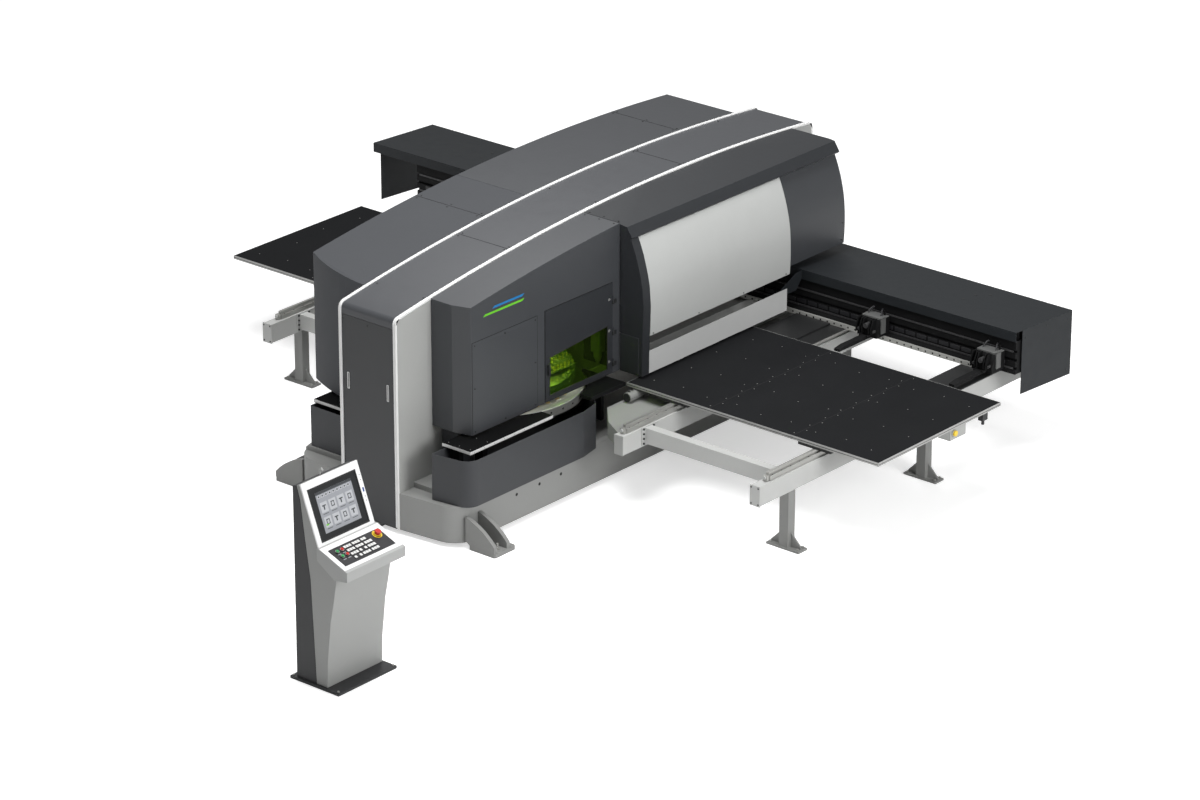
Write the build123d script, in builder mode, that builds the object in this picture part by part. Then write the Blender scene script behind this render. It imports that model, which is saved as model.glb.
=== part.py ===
from build123d import *
import math
import os

os.makedirs("parts", exist_ok=True)

# The machine stands on the floor at z = 0. x = 0 is the middle of the spine,
# y = 0 the spine's front face, +y runs to the rear and +x to the right-hand tables.

# heights
FLOOR_GAP = 43.0            # underside of the base above the floor
SHEET_Z = 860.0             # plane the sheet slides on
TABLE_T = 35.0              # edge frame of the tables
TABLE_SKIN = 2.0            # tables' edge frame stays this far below their brush top
BASE_TOP = 434.0            # top of the side castings
BED_TOP = 750.0             # bed inside the throat
THROAT_TOP = 1245.0         # underside of the upper arm
HOUSING_BOTTOM = 888.0      # lower edge of the front housings
TUNNEL_TOP = 1250.0         # ceiling above the travelling cover
ARC_TOP = 2325.0            # highest point of the roof line
ARC_Y = 3850.0              # where that point lies
ARC_R = 22500.0             # radius of the roof line

# plan sizes
SPINE_HALF = 335.0
STRIP_W = 20.0
STRIP_IN = 14.0
STRIP_OUT = 10.0
SPINE_LEN = 5750.0
COLUMN_DEPTH = 600.0
REAR_COLUMN_Y = SPINE_LEN - 95.0
CORNER_R = 50.0             # bend of the dark roof plate over the front
BASE_HALF = 965.0
BASE_SWEEP = 69.0           # how far the base's front falls back to its side
BASE_CORNER = 220.0         # radius of that corner
BASE_LEN = 5600.0
LEDGE_DEPTH = 190.0         # low step in front of the trays
PAD_HALF = 100.0            # levelling pads under the spine
PAD_LEN = 290.0
FOOT_REACH = 338.0          # foot plates end this far outside the base
FOOT_Y = 152.0
FOOT_LEN = 274.0
FOOT_PITCH = 4700.0
HOUSING_X = 756.0
HOUSING_FRONT = 440.0
HOUSING_REAR = 2458.0
REAR_END = 5440.0           # rear end of both rear housings
WALL = 5.0
LEFT_X = 1170.0
TRAY_TOP = 818.0
TRAY_BOTTOM = 386.0
TRAY_X = BASE_HALF + 67.0
TRAY_FRONT = 144.0
TRAY_IN_X = 640.0           # inner front corner of the right tray
TRAY_IN_Y = 90.0
TRAY_LEFT_X = BASE_HALF - 69.0
TABLE_IN = 945.0
TABLE_OUT = 3745.0
TABLE_FRONT = 2331.0
TABLE_REAR = 4105.0
LEFT_TABLE_IN = 915.0
LEFT_TABLE_OUT = 3913.0

# turret
TURRET_Y = 1600.0
UPPER_R = 735.0
LOWER_R = 830.0
UPPER_Z = 895.0
UPPER_T = 115.0
LOWER_TOP = 852.0
LOWER_T = 84.0
STATION_R = 640.0           # circle of the punching stations

# Y beams, rails and what runs on them
BEAM_W = 97.0
BEAM_Z = 540.0
BEAM_TOP = 722.0
RAIL_TOP = 797.0
BEAM_REAR = 5500.0
INNER_X = 1460.5
OUTER_X = 3049.5
LEFT_OUTER_X = 2696.5
INNER_FRONT = 1612.0
OUTER_FRONT = 1517.0
SHOE_GAP = 0.2

# X beam, cover and clamps
XBEAM_FRONT = 4805.0
XBEAM_REAR = 5180.0
XBEAM_LEFT = -3812.0
XBEAM_RIGHT = 3395.0
XBEAM_Z = 806.0
XBEAM_TOP = 1122.0
COVER_LEFT = -4365.0
COVER_INSET = 100.0         # end panels stand back from the front lip
COVER_RIGHT = 3413.0
COVER_FRONT = 4776.0
COVER_REAR = 5645.0
COVER_TOP = 1225.0
COVER_REAR_TOP = 1183.0
COVER_T = 6.0
CLAMP_X = (1890.0, 3175.0)
CLAMP_W = 220.0
JAW_TIP = 4150.0
JAW_PIVOT_Y = 4560.0
JAW_PIVOT_Z = 868.0
BODY_FRONT = 4600.0
BODY_BOTTOM = 850.0
BODY_TOP = 1025.0
RAIL_BAR_Y = 4697.0         # perforated bar that the clamps stand on
RAIL_BAR_T = 14.0

# guard leaves
LEAF_X = (1001.0, 997.8, 994.6, 991.4)
LEAF_Y = ((2464.0, 3060.0), (2966.0, 3560.0), (3466.0, 4060.0), (3966.0, 4560.0))
LEAF_T = 3.0
LEAF_Z0 = 885.0
LEAF_Z1 = 1100.0

# drive
SCREW_X = 1034.0
SCREW_Z = 765.0
SCREW_R = 16.0
NUT_CLEAR = 0.4
MOTOR_Y = 2230.0
MOTOR_LEN = 250.0
BRACKET_TOP = 715.0

# door
DOOR_Y0 = 1446.0
DOOR_Y1 = 2352.0
DOOR_Z0 = 899.0
DOOR_Z1 = 1752.0
DOOR_GAP = 2.0
HINGE_X = 768.0
HINGE_Y = 2356.0
HINGE_R = 9.0
KNUCKLE = 34.0              # height of one hinge knuckle
DOOR_LIFT = 0.3             # door knuckles stand this far above the fixed ones
PIN_R = 5.0
PIN_CLEAR = 0.06
HINGE_Z = (995.0, 1290.0, 1587.0)
LATCH_Y = 1480.0
LATCH_Z = 1230.0

BUTTON_LIFT = 6.5           # free travel under a button

# laser head
LASER_X = 560.0
LASER_Y = 2390.0
NOZZLE_Z = 910.0
LASER_PAD_X = LASER_X - 50.1

# console
CON_MID = -2319.6
CON_HALF = 325.0
DESK_HALF = 345.0
PLATE_HALF = 347.0
PLATE_T = 25.0
SHELF_X = 1925.0
SHELF_Z = 1250.0
SHELF_RUN = 308.0
SHELF_SLOPE = 21.5
HEAD_X0 = 1727.0            # top of the screen frame's face
HEAD_Z0 = 1750.0
HEAD_X1 = 1914.0            # foot of the screen frame's face
HEAD_Z1 = 1250.0
FRAME_T = 14.0
SCREEN_W = 560.0
SCREEN_H = 442.0
SCREEN_DOWN = 285.0         # middle of the screen below the top of its frame
BUTTON_R = 13.0
BUTTON_ROWS = (105.0, 168.0)
BUTTON_COLUMNS = (-235.0, -180.0)
STOP_PLACE = (107.0, 232.0)
STOP_R = 23.0


def arc_z(y):
    """Height of the roof line at y."""
    return ARC_TOP - ARC_R + math.sqrt(ARC_R ** 2 - (y - ARC_Y) ** 2)


def roof_face(y0, y1, z0, drop):
    """Side view (y, z) of a body whose top follows the roof line, lowered by drop."""
    mid = 0.5 * (y0 + y1)
    with BuildSketch(mode=Mode.PRIVATE) as face:
        with BuildLine():
            Polyline((y0, arc_z(y0) - drop), (y0, z0), (y1, z0), (y1, arc_z(y1) - drop))
            ThreePointArc((y1, arc_z(y1) - drop), (mid, arc_z(mid) - drop), (y0, arc_z(y0) - drop))
        make_face()
    return face


def cover_under(y):
    """Height of the travelling cover's underside at y."""
    drop = (COVER_TOP - COVER_REAR_TOP) / (COVER_REAR - COVER_FRONT - 2.0 * COVER_T)
    return COVER_TOP - COVER_T - (y - COVER_FRONT - COVER_T) * drop


def skin_face(points, thick):
    """Bent sheet between two arcs through five points (x, z), thick inwards along x."""
    inner = [(x - thick, z) for x, z in points]
    with BuildSketch(mode=Mode.PRIVATE) as face:
        with BuildLine():
            ThreePointArc(*points[0:3])
            ThreePointArc(*points[2:5])
            Line(points[4], inner[4])
            ThreePointArc(*reversed(inner[2:5]))
            ThreePointArc(*reversed(inner[0:3]))
            Line(inner[0], points[0])
        make_face()
    return face


def save(body, name):
    """Label the body and write it as its own file."""
    body.part.label = name
    export_step(body.part, f"parts/{name}.step")


# base castings, one on each side of the spine
with BuildPart() as base_frame:
    with BuildSketch(Plane.XY.offset(FLOOR_GAP)):
        with BuildLine():
            Polyline(
                (SPINE_HALF, 6.0),
                (BASE_HALF, BASE_SWEEP),
                (BASE_HALF, BASE_LEN),
                (SPINE_HALF, BASE_LEN),
                (SPINE_HALF, 6.0),
            )
        make_face()
        fillet(
            [v for v in vertices() if abs(v.X - BASE_HALF) < 1 and v.Y < 200],
            radius=BASE_CORNER,
        )
    extrude(amount=BASE_TOP - FLOOR_GAP)
    top_edges = edges().filter_by(GeomType.LINE).group_by(Axis.Z)[-1]
    outer = [e for e in top_edges if e.center().X > BASE_HALF - 5 and e.length > 3000]
    chamfer(outer, length=24.0)
    with BuildSketch(Plane.XY.offset(TRAY_BOTTOM)):
        with Locations((0.5 * (SPINE_HALF + BASE_HALF), 0.5 * LEDGE_DEPTH)):
            Rectangle(BASE_HALF - SPINE_HALF, LEDGE_DEPTH)
    extrude(amount=BASE_TOP - TRAY_BOTTOM, mode=Mode.SUBTRACT)
    mirror(about=Plane.YZ)
save(base_frame, "base_frame")

# four arched feet on the base walls and two levelling pads under the spine
with BuildPart() as base_feet:
    for y_shift in (0.0, FOOT_PITCH):
        with BuildSketch(Plane.XY):
            with Locations((BASE_HALF + 0.5 * (45.0 + FOOT_REACH), FOOT_Y + 0.5 * FOOT_LEN + y_shift)):
                Rectangle(FOOT_REACH - 45.0, FOOT_LEN)
            chamfer([v for v in vertices() if v.X > BASE_HALF + 200], length=14.0)
        extrude(amount=40.0)
        for rib_y in (FOOT_Y, FOOT_Y + 164.0):
            with BuildSketch(Plane.XZ.offset(-(rib_y + 40.0 + y_shift))):
                with BuildLine():
                    Polyline(
                        (BASE_HALF + 14.0, 292.0),
                        (BASE_HALF, 292.0),
                        (BASE_HALF, 70.0),
                        (BASE_HALF + 45.0, 40.0),
                        (BASE_HALF + FOOT_REACH - 8.0, 40.0),
                        (BASE_HALF + FOOT_REACH - 8.0, 92.0),
                    )
                    ThreePointArc(
                        (BASE_HALF + FOOT_REACH - 8.0, 92.0),
                        (BASE_HALF + 190.0, 212.0),
                        (BASE_HALF + 14.0, 292.0),
                    )
                make_face()
            extrude(amount=40.0)
    mirror(about=Plane.YZ)
    for pad_y in (0.5 * PAD_LEN - STRIP_OUT, SPINE_LEN - STRIP_OUT - 0.5 * PAD_LEN):
        with Locations((0.0, pad_y, 0.5 * FLOOR_GAP)):
            Box(2.0 * PAD_HALF, PAD_LEN, FLOOR_GAP)
save(base_feet, "base_feet")

# O-shaped machine frame, everything between the two white edge strips
with BuildPart() as spine_frame:
    with BuildSketch(Plane.YZ.offset(-SPINE_HALF)):
        add(roof_face(STRIP_IN, SPINE_LEN - STRIP_IN, FLOOR_GAP, STRIP_IN).sketch)
        fillet(
            [v for v in vertices() if v.X < 100 and v.Y > 1500],
            radius=CORNER_R - STRIP_IN,
        )
        with Locations((0.5 * (COLUMN_DEPTH + REAR_COLUMN_Y), 0.5 * (BED_TOP + THROAT_TOP))):
            Rectangle(REAR_COLUMN_Y - COLUMN_DEPTH, THROAT_TOP - BED_TOP, mode=Mode.SUBTRACT)
    extrude(amount=2.0 * SPINE_HALF)
    with Locations((0.5 * (SPINE_HALF + LASER_PAD_X), LASER_Y, 1430.0)):
        Box(LASER_PAD_X - SPINE_HALF, 110.0, 340.0)
save(spine_frame, "spine_frame")

# raised white strips along both edges of the front and roof
with BuildPart() as edge_strips:
    with BuildSketch(Plane.YZ.offset(SPINE_HALF - STRIP_W)):
        add(roof_face(-STRIP_OUT, SPINE_LEN + STRIP_OUT, FLOOR_GAP, -STRIP_OUT).sketch)
        fillet(
            [v for v in vertices() if v.Y > 1500],
            radius=78.0,
        )
        add(
            roof_face(STRIP_IN, SPINE_LEN - STRIP_IN, FLOOR_GAP - 20.0, STRIP_IN).sketch,
            mode=Mode.SUBTRACT,
        )
        with Locations((SPINE_LEN, 1000.0)):
            Rectangle(100.0, 2040.0, mode=Mode.SUBTRACT)
    extrude(amount=STRIP_W)
    mirror(about=Plane.YZ)
save(edge_strips, "edge_strips")

# dark cover between the strips on the front
PANEL_HALF = SPINE_HALF - STRIP_W - 1.0
PANEL_TOP = 1900.0
with BuildPart() as front_panel:
    with BuildSketch(Plane.XZ.offset(-STRIP_IN)):
        with Locations((0.0, 0.5 * (FLOOR_GAP + PANEL_TOP))):
            Rectangle(2.0 * PANEL_HALF, PANEL_TOP - FLOOR_GAP)
        with Locations((-236.0, 1300.0), (226.0, 1290.0)):
            SlotOverall(150.0, 22.0, rotation=90.0, mode=Mode.SUBTRACT)
    extrude(amount=STRIP_IN)
save(front_panel, "front_panel")

# dark roof plate between the strips, bent down over the front
with BuildPart() as spine_roof:
    with BuildSketch(Plane.YZ.offset(-PANEL_HALF)):
        add(roof_face(0.0, SPINE_LEN - 60.0, PANEL_TOP + 2.0, 0.0).sketch)
        fillet(
            [v for v in vertices() if v.X < 100 and v.Y > PANEL_TOP + 20],
            radius=CORNER_R,
        )
        with BuildSketch(mode=Mode.PRIVATE) as room:
            add(roof_face(STRIP_IN, SPINE_LEN, PANEL_TOP - 100.0, STRIP_IN).sketch)
            fillet(
                [v for v in vertices() if v.X < 100 and v.Y > PANEL_TOP + 20],
                radius=CORNER_R - STRIP_IN,
            )
        add(room.sketch, mode=Mode.SUBTRACT)
    extrude(amount=2.0 * PANEL_HALF)
save(spine_roof, "spine_roof")

# right front housing around the turret, open below
with BuildPart() as right_front_housing:
    with BuildSketch(Plane.YZ.offset(SPINE_HALF)):
        add(roof_face(HOUSING_FRONT, HOUSING_REAR, HOUSING_BOTTOM, 0.0).sketch)
    extrude(amount=HOUSING_X - SPINE_HALF)
    with BuildSketch(Plane.XY.offset(HOUSING_BOTTOM - 10.0)):
        with BuildLine():
            Polyline((575.0, 380.0), (575.0, 440.0), (800.0, 492.0), (800.0, 380.0), (575.0, 380.0))
        make_face()
    extrude(amount=1500.0, mode=Mode.SUBTRACT)
    with BuildSketch(Plane.YZ.offset(SPINE_HALF)):
        add(roof_face(HOUSING_FRONT + 60.0, HOUSING_REAR - WALL, 800.0, 30.0).sketch)
    extrude(amount=HOUSING_X - WALL - SPINE_HALF, mode=Mode.SUBTRACT)
    with BuildSketch(Plane.YZ.offset(HOUSING_X - 20.0)):
        with Locations((0.5 * (DOOR_Y0 + DOOR_Y1), 0.5 * (DOOR_Z0 + DOOR_Z1))):
            Rectangle(DOOR_Y1 - DOOR_Y0, DOOR_Z1 - DOOR_Z0)
    extrude(amount=40.0, mode=Mode.SUBTRACT)
save(right_front_housing, "right_front_housing")

# bolted service panel in front of the door
with BuildPart() as access_panel:
    with BuildSketch(Plane.YZ.offset(HOUSING_X)):
        with Locations((919.5, 1314.0)):
            Rectangle(847.0, 850.0)
    extrude(amount=2.5)
    with BuildSketch(Plane.YZ.offset(HOUSING_X + 2.5)):
        with GridLocations(793.0, 398.0, 2, 3):
            with Locations((919.5, 1314.0)):
                RegularPolygon(9.0, 8)
    extrude(amount=2.5)
save(access_panel, "access_panel")

# hinged door with its laser-safe window
WINDOW = ((1500.0, 945.0), (2284.0, 945.0), (2284.0, 1362.0), (1500.0, 1304.0))
with BuildPart() as door:
    with BuildSketch(Plane.YZ.offset(HOUSING_X - WALL)):
        with Locations((0.5 * (DOOR_Y0 + DOOR_Y1), 0.5 * (DOOR_Z0 + DOOR_Z1))):
            Rectangle(DOOR_Y1 - DOOR_Y0 - 2 * DOOR_GAP, DOOR_Z1 - DOOR_Z0 - 2 * DOOR_GAP)
        with BuildLine():
            Polyline(*WINDOW, WINDOW[0])
        make_face(mode=Mode.SUBTRACT)
    extrude(amount=10.0)
    for hz in HINGE_Z:
        with BuildSketch(Plane.XY.offset(hz)):
            with Locations((HINGE_X, HINGE_Y)):
                RegularPolygon(HINGE_R, 8)
            with Locations((HOUSING_X + 7.5, HINGE_Y - 25.0)):
                Rectangle(5.0, 40.0)
            with Locations((HINGE_X, HINGE_Y)):
                Circle(PIN_R + PIN_CLEAR, mode=Mode.SUBTRACT)
        extrude(amount=KNUCKLE)
save(door, "door")

with BuildPart() as door_window:
    with BuildSketch(Plane.YZ.offset(HOUSING_X - 3.0)):
        with BuildLine():
            Polyline(*WINDOW, WINDOW[0])
        make_face()
    extrude(amount=4.0)
save(door_window, "door_window")

with BuildPart() as door_hinges:
    for hz in HINGE_Z:
        with BuildSketch(Plane.XY.offset(hz - KNUCKLE - DOOR_LIFT)):
            with Locations((HINGE_X, HINGE_Y)):
                RegularPolygon(HINGE_R, 8)
            with Locations((HINGE_X - 6.0, HINGE_Y + 24.0)):
                Rectangle(12.0, 44.0)
        extrude(amount=KNUCKLE)
        with BuildSketch(Plane.XY.offset(hz - KNUCKLE - DOOR_LIFT)):
            with Locations((HINGE_X, HINGE_Y)):
                Circle(PIN_R)
        extrude(amount=2.0 * KNUCKLE)
save(door_hinges, "door_hinges")

with BuildPart() as door_latch:
    with BuildSketch(Plane.YZ.offset(HOUSING_X + 5.0)):
        with Locations((LATCH_Y, LATCH_Z)):
            RegularPolygon(14.0, 8)
    extrude(amount=14.0)
    with BuildSketch(Plane.YZ.offset(HOUSING_X + 19.0)):
        with Locations((LATCH_Y, LATCH_Z - 36.0)):
            Rectangle(24.0, 112.0)
        chamfer(vertices(), length=7.0)
    extrude(amount=10.0)
save(door_latch, "door_latch")

# left front housing with its swept front
with BuildPart() as left_front_housing:
    with BuildSketch(Plane.YZ.offset(-LEFT_X)):
        add(roof_face(338.0, HOUSING_REAR, HOUSING_BOTTOM, 0.0).sketch)
    extrude(amount=LEFT_X - SPINE_HALF)
    with BuildSketch(Plane.XY.offset(HOUSING_BOTTOM - 10.0)):
        with BuildLine():
            Line((-SPINE_HALF, 338.0), (-SPINE_HALF, 200.0))
            Line((-SPINE_HALF, 200.0), (-LEFT_X - 50.0, 200.0))
            Line((-LEFT_X - 50.0, 200.0), (-LEFT_X - 50.0, 597.0))
            Line((-LEFT_X - 50.0, 597.0), (-LEFT_X, 567.0))
            ThreePointArc((-LEFT_X, 567.0), (-780.0, 412.0), (-SPINE_HALF, 338.0))
        make_face()
    extrude(amount=1500.0, mode=Mode.SUBTRACT)
    with BuildSketch(Plane.YZ.offset(-LEFT_X + WALL)):
        add(roof_face(610.0, HOUSING_REAR - WALL, 800.0, 30.0).sketch)
    extrude(amount=LEFT_X - WALL - SPINE_HALF, mode=Mode.SUBTRACT)
save(left_front_housing, "left_front_housing")

# open trays round the lower turret
with BuildPart() as right_lower_housing:
    with BuildSketch(Plane.XY.offset(TRAY_BOTTOM)):
        with BuildLine():
            Polyline(
                (SPINE_HALF, 560.0), (TRAY_IN_X + 10.0, 560.0), (TRAY_IN_X, TRAY_IN_Y), (TRAY_X, TRAY_FRONT),
                (TRAY_X, 1647.0), (TRAY_X - 47.0, 1864.0), (SPINE_HALF, 2440.0), (SPINE_HALF, 560.0),
            )
        make_face()
        fillet([v for v in vertices() if v.X > BASE_HALF and v.Y < 500], radius=130.0)
        fillet([v for v in vertices() if v.X > TRAY_X - 1 and v.Y > 500], radius=120.0)
    extrude(amount=TRAY_TOP - TRAY_BOTTOM)
    with BuildSketch(Plane.XY.offset(BASE_TOP + WALL)):
        with BuildLine():
            Polyline(
                (SPINE_HALF, 565.0), (TRAY_IN_X + 15.0, 565.0), (TRAY_IN_X + WALL, TRAY_IN_Y + WALL + 1.0),
                (TRAY_X - WALL, TRAY_FRONT + WALL),
                (TRAY_X - WALL, 1646.0), (TRAY_X - 51.0, 1861.0), (SPINE_HALF, 2434.0), (SPINE_HALF, 565.0),
            )
        make_face()
        fillet([v for v in vertices() if v.X > BASE_HALF and v.Y < 500], radius=126.0)
        fillet([v for v in vertices() if v.X > TRAY_X - 6 and v.Y > 500], radius=116.0)
    extrude(amount=TRAY_TOP, mode=Mode.SUBTRACT)
    with BuildSketch(Plane.XY.offset(TRAY_BOTTOM)):
        with Locations((0.5 * BASE_HALF + 1.0, 0.5 * (LEDGE_DEPTH + 2700.0))):
            Rectangle(BASE_HALF + 2.0, 2700.0 - LEDGE_DEPTH)
    extrude(amount=BASE_TOP - TRAY_BOTTOM, mode=Mode.SUBTRACT)
save(right_lower_housing, "right_lower_housing")

with BuildPart() as left_lower_housing:
    with BuildSketch(Plane.XY.offset(BASE_TOP)):
        with BuildLine():
            Polyline(
                (-SPINE_HALF, LEDGE_DEPTH + 6.0), (-TRAY_LEFT_X, LEDGE_DEPTH + 14.0),
                (-TRAY_LEFT_X, 1960.0), (-SPINE_HALF, 2480.0), (-SPINE_HALF, LEDGE_DEPTH + 6.0),
            )
        make_face()
    extrude(amount=TRAY_TOP - BASE_TOP)
    with BuildSketch(Plane.XY.offset(BASE_TOP + WALL)):
        with BuildLine():
            Polyline(
                (-SPINE_HALF, LEDGE_DEPTH + 11.0), (-TRAY_LEFT_X + WALL, LEDGE_DEPTH + 19.0),
                (-TRAY_LEFT_X + WALL, 1957.0), (-SPINE_HALF, 2473.0), (-SPINE_HALF, LEDGE_DEPTH + 11.0),
            )
        make_face()
    extrude(amount=TRAY_TOP, mode=Mode.SUBTRACT)
save(left_lower_housing, "left_lower_housing")

# right rear housing: roof, front closure and tunnel ceiling
SKIN = ((885.0, 2156.0), (972.0, 1920.0), (1021.0, 1680.0), (1031.0, 1470.0), (1024.0, 1250.0))
CUT_Y0 = HOUSING_REAR - 58.0
CUT_Y1 = REAR_END + 60.0
with BuildPart() as right_rear_housing:
    with BuildSketch(Plane.XZ.offset(-2460.0)):
        with BuildLine():
            Polyline(
                (SPINE_HALF, 2156.0), (883.0, 2156.0), (896.0, 2171.0), (836.0, 2262.0),
                (SPINE_HALF, 2320.0), (SPINE_HALF, 2156.0),
            )
        make_face()
    extrude(amount=-2980.0)
    with BuildSketch(Plane.YZ.offset(SPINE_HALF)):
        with BuildLine():
            Polyline(
                (CUT_Y0, arc_z(CUT_Y0)), (CUT_Y0, ARC_TOP + 100.0),
                (CUT_Y1, ARC_TOP + 100.0), (CUT_Y1, arc_z(CUT_Y1)),
            )
            ThreePointArc((CUT_Y1, arc_z(CUT_Y1)), (ARC_Y, ARC_TOP), (CUT_Y0, arc_z(CUT_Y0)))
        make_face()
    extrude(amount=600.0, mode=Mode.SUBTRACT)
    with BuildSketch(Plane.XZ.offset(-2460.0)):
        with BuildLine():
            Polyline(
                (HOUSING_X + 4.0, 885.0), (1012.0, 885.0), (1018.0, 1250.0),
                (1031.0, 1536.0), (1016.0, 1727.0), (996.0, 1823.0), (945.0, 2005.0),
                (883.0, 2156.0), (HOUSING_X + 4.0, 2156.0), (HOUSING_X + 4.0, 885.0),
            )
        make_face()
    extrude(amount=-100.0)
    with BuildSketch(Plane.XZ.offset(-2464.0)):
        with BuildLine():
            Polyline(
                (HOUSING_X - 20.0, 870.0), (1006.0, 870.0), (1012.0, 1250.0),
                (1025.0, 1536.0), (1010.0, 1727.0), (990.0, 1823.0), (939.0, 2005.0),
                (880.0, 2150.0), (HOUSING_X - 20.0, 2150.0), (HOUSING_X - 20.0, 870.0),
            )
        make_face()
    extrude(amount=-120.0, mode=Mode.SUBTRACT)
    with Locations((0.5 * (SPINE_HALF + 1006.0), 0.5 * (2464.0 + 4560.0), TUNNEL_TOP + 3.0)):
        Box(1006.0 - SPINE_HALF, 4560.0 - 2464.0, 6.0)
    with Locations((0.5 * (SPINE_HALF + 953.0), 5000.0, 1293.0)):
        Box(953.0 - SPINE_HALF, 880.0, 6.0)
    for py, pz in ((4560.0, TUNNEL_TOP), (5434.0, 1290.0)):
        with BuildSketch(Plane.XZ.offset(-py)):
            with BuildLine():
                Polyline(
                    (SPINE_HALF, pz), (953.0, pz), (962.0, 1466.0), (945.0, 1720.0), (912.0, 1899.0),
                    (812.0, 2150.0), (812.0, 2156.0), (SPINE_HALF, 2156.0), (SPINE_HALF, pz),
                )
            make_face()
        extrude(amount=-6.0)
save(right_rear_housing, "right_rear_housing")

# bulged light panel on the right side
with BuildPart() as light_panel:
    with BuildSketch(Plane.XZ.offset(-2561.0)):
        add(skin_face(SKIN, 9.0).sketch)
    extrude(amount=-1999.0)
save(light_panel, "light_panel")

REAR_SKIN = ((832.0, 2156.0), (916.0, 1940.0), (966.0, 1700.0), (976.0, 1500.0), (968.0, 1290.0))
with BuildPart() as rear_side_panel:
    with BuildSketch(Plane.XZ.offset(-4568.0)):
        add(skin_face(REAR_SKIN, 6.0).sketch)
    extrude(amount=-872.0)
save(rear_side_panel, "rear_side_panel")

# left rear housing over the tunnel
with BuildPart() as left_rear_housing:
    with BuildSketch(Plane.YZ.offset(-LEFT_X)):
        add(roof_face(HOUSING_REAR + 2.0, REAR_END, TUNNEL_TOP, 0.0).sketch)
    extrude(amount=LEFT_X - SPINE_HALF)
    with BuildSketch(Plane.YZ.offset(-LEFT_X + WALL)):
        add(roof_face(HOUSING_REAR + 2.0 + WALL, REAR_END - WALL, TUNNEL_TOP + WALL, 30.0).sketch)
    extrude(amount=LEFT_X - WALL - SPINE_HALF, mode=Mode.SUBTRACT)
save(left_rear_housing, "left_rear_housing")

# fixed tables beside the turret: brush tops and light edge frames
CUT_R = LOWER_R + 15.0
TABLE_GAP = 2.0
RIGHT_X = TABLE_IN - 8.0
LEFT_IN_X = LEFT_TABLE_IN - 10.0
FIXED = ((610.0, 259.0, RIGHT_X, 1339.0), (345.0, 1859.0, RIGHT_X, TABLE_FRONT - TABLE_GAP),
         (-LEFT_IN_X, 259.0, -345.0, 1339.0), (-LEFT_IN_X, 1859.0, -345.0, TABLE_FRONT - TABLE_GAP))
with BuildPart() as fixed_table_tops:
    with BuildSketch(Plane.XY.offset(SHEET_Z - TABLE_T + 5.0)):
        for x0, y0, x1, y1 in FIXED:
            with Locations((0.5 * (x0 + x1), 0.5 * (y0 + y1))):
                Rectangle(x1 - x0 - 16.0, y1 - y0 - 16.0)
        with Locations((0.0, TURRET_Y)):
            Circle(CUT_R + 8.0, mode=Mode.SUBTRACT)
    extrude(amount=TABLE_T - 5.0)
save(fixed_table_tops, "fixed_table_tops")

with BuildPart() as fixed_table_edges:
    with BuildSketch(Plane.XY.offset(SHEET_Z - TABLE_T)):
        for x0, y0, x1, y1 in FIXED:
            with Locations((0.5 * (x0 + x1), 0.5 * (y0 + y1))):
                Rectangle(x1 - x0, y1 - y0)
        with Locations((0.0, TURRET_Y)):
            Circle(CUT_R, mode=Mode.SUBTRACT)
        for x0, y0, x1, y1 in FIXED:
            with Locations((0.5 * (x0 + x1), 0.5 * (y0 + y1))):
                Rectangle(x1 - x0 - 16.0, y1 - y0 - 16.0, mode=Mode.SUBTRACT)
    extrude(amount=TABLE_T - TABLE_SKIN)
    with BuildSketch(Plane.XY.offset(SHEET_Z - TABLE_T)):
        for x0, y0, x1, y1 in FIXED:
            with Locations((0.5 * (x0 + x1), 0.5 * (y0 + y1))):
                Rectangle(x1 - x0 - 16.0, y1 - y0 - 16.0)
        with Locations((0.0, TURRET_Y)):
            Circle(CUT_R + 8.0, mode=Mode.SUBTRACT)
    extrude(amount=5.0)
    for side in (1.0, -1.0):
        for by in (330.0, 640.0):
            with Locations((side * 720.0, by, 0.5 * (BASE_TOP + WALL + SHEET_Z - TABLE_T))):
                Box(90.0, 60.0, SHEET_Z - TABLE_T - BASE_TOP - WALL)
        with Locations((side * 640.0, TABLE_FRONT - 26.0, 0.5 * (BASE_TOP + SHEET_Z - TABLE_T))):
            Box(90.0, 40.0, SHEET_Z - TABLE_T - BASE_TOP)
save(fixed_table_edges, "fixed_table_edges")

# turret discs
with BuildPart() as upper_turret:
    with BuildSketch(Plane.XY.offset(UPPER_Z)):
        with Locations((0.0, TURRET_Y)):
            Circle(UPPER_R)
    extrude(amount=UPPER_T)
    chamfer(edges().filter_by(GeomType.CIRCLE).sort_by(Axis.Z)[-1], length=8.0)
    with BuildSketch(Plane.XY.offset(UPPER_Z + UPPER_T)):
        with Locations((0.0, TURRET_Y)):
            RegularPolygon(120.0, 8)
    extrude(amount=THROAT_TOP - UPPER_Z - UPPER_T)
save(upper_turret, "upper_turret")

with BuildPart() as lower_turret:
    with BuildSketch(Plane.XY.offset(LOWER_TOP - LOWER_T)):
        with Locations((0.0, TURRET_Y)):
            Circle(LOWER_R)
    extrude(amount=LOWER_T)
    chamfer(edges().filter_by(GeomType.CIRCLE).sort_by(Axis.Z)[-1], length=6.0)
    with BuildSketch(Plane.XY.offset(BED_TOP)):
        with Locations((0.0, TURRET_Y)):
            RegularPolygon(150.0, 8)
    extrude(amount=LOWER_TOP - LOWER_T - BED_TOP)
save(lower_turret, "lower_turret")

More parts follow.
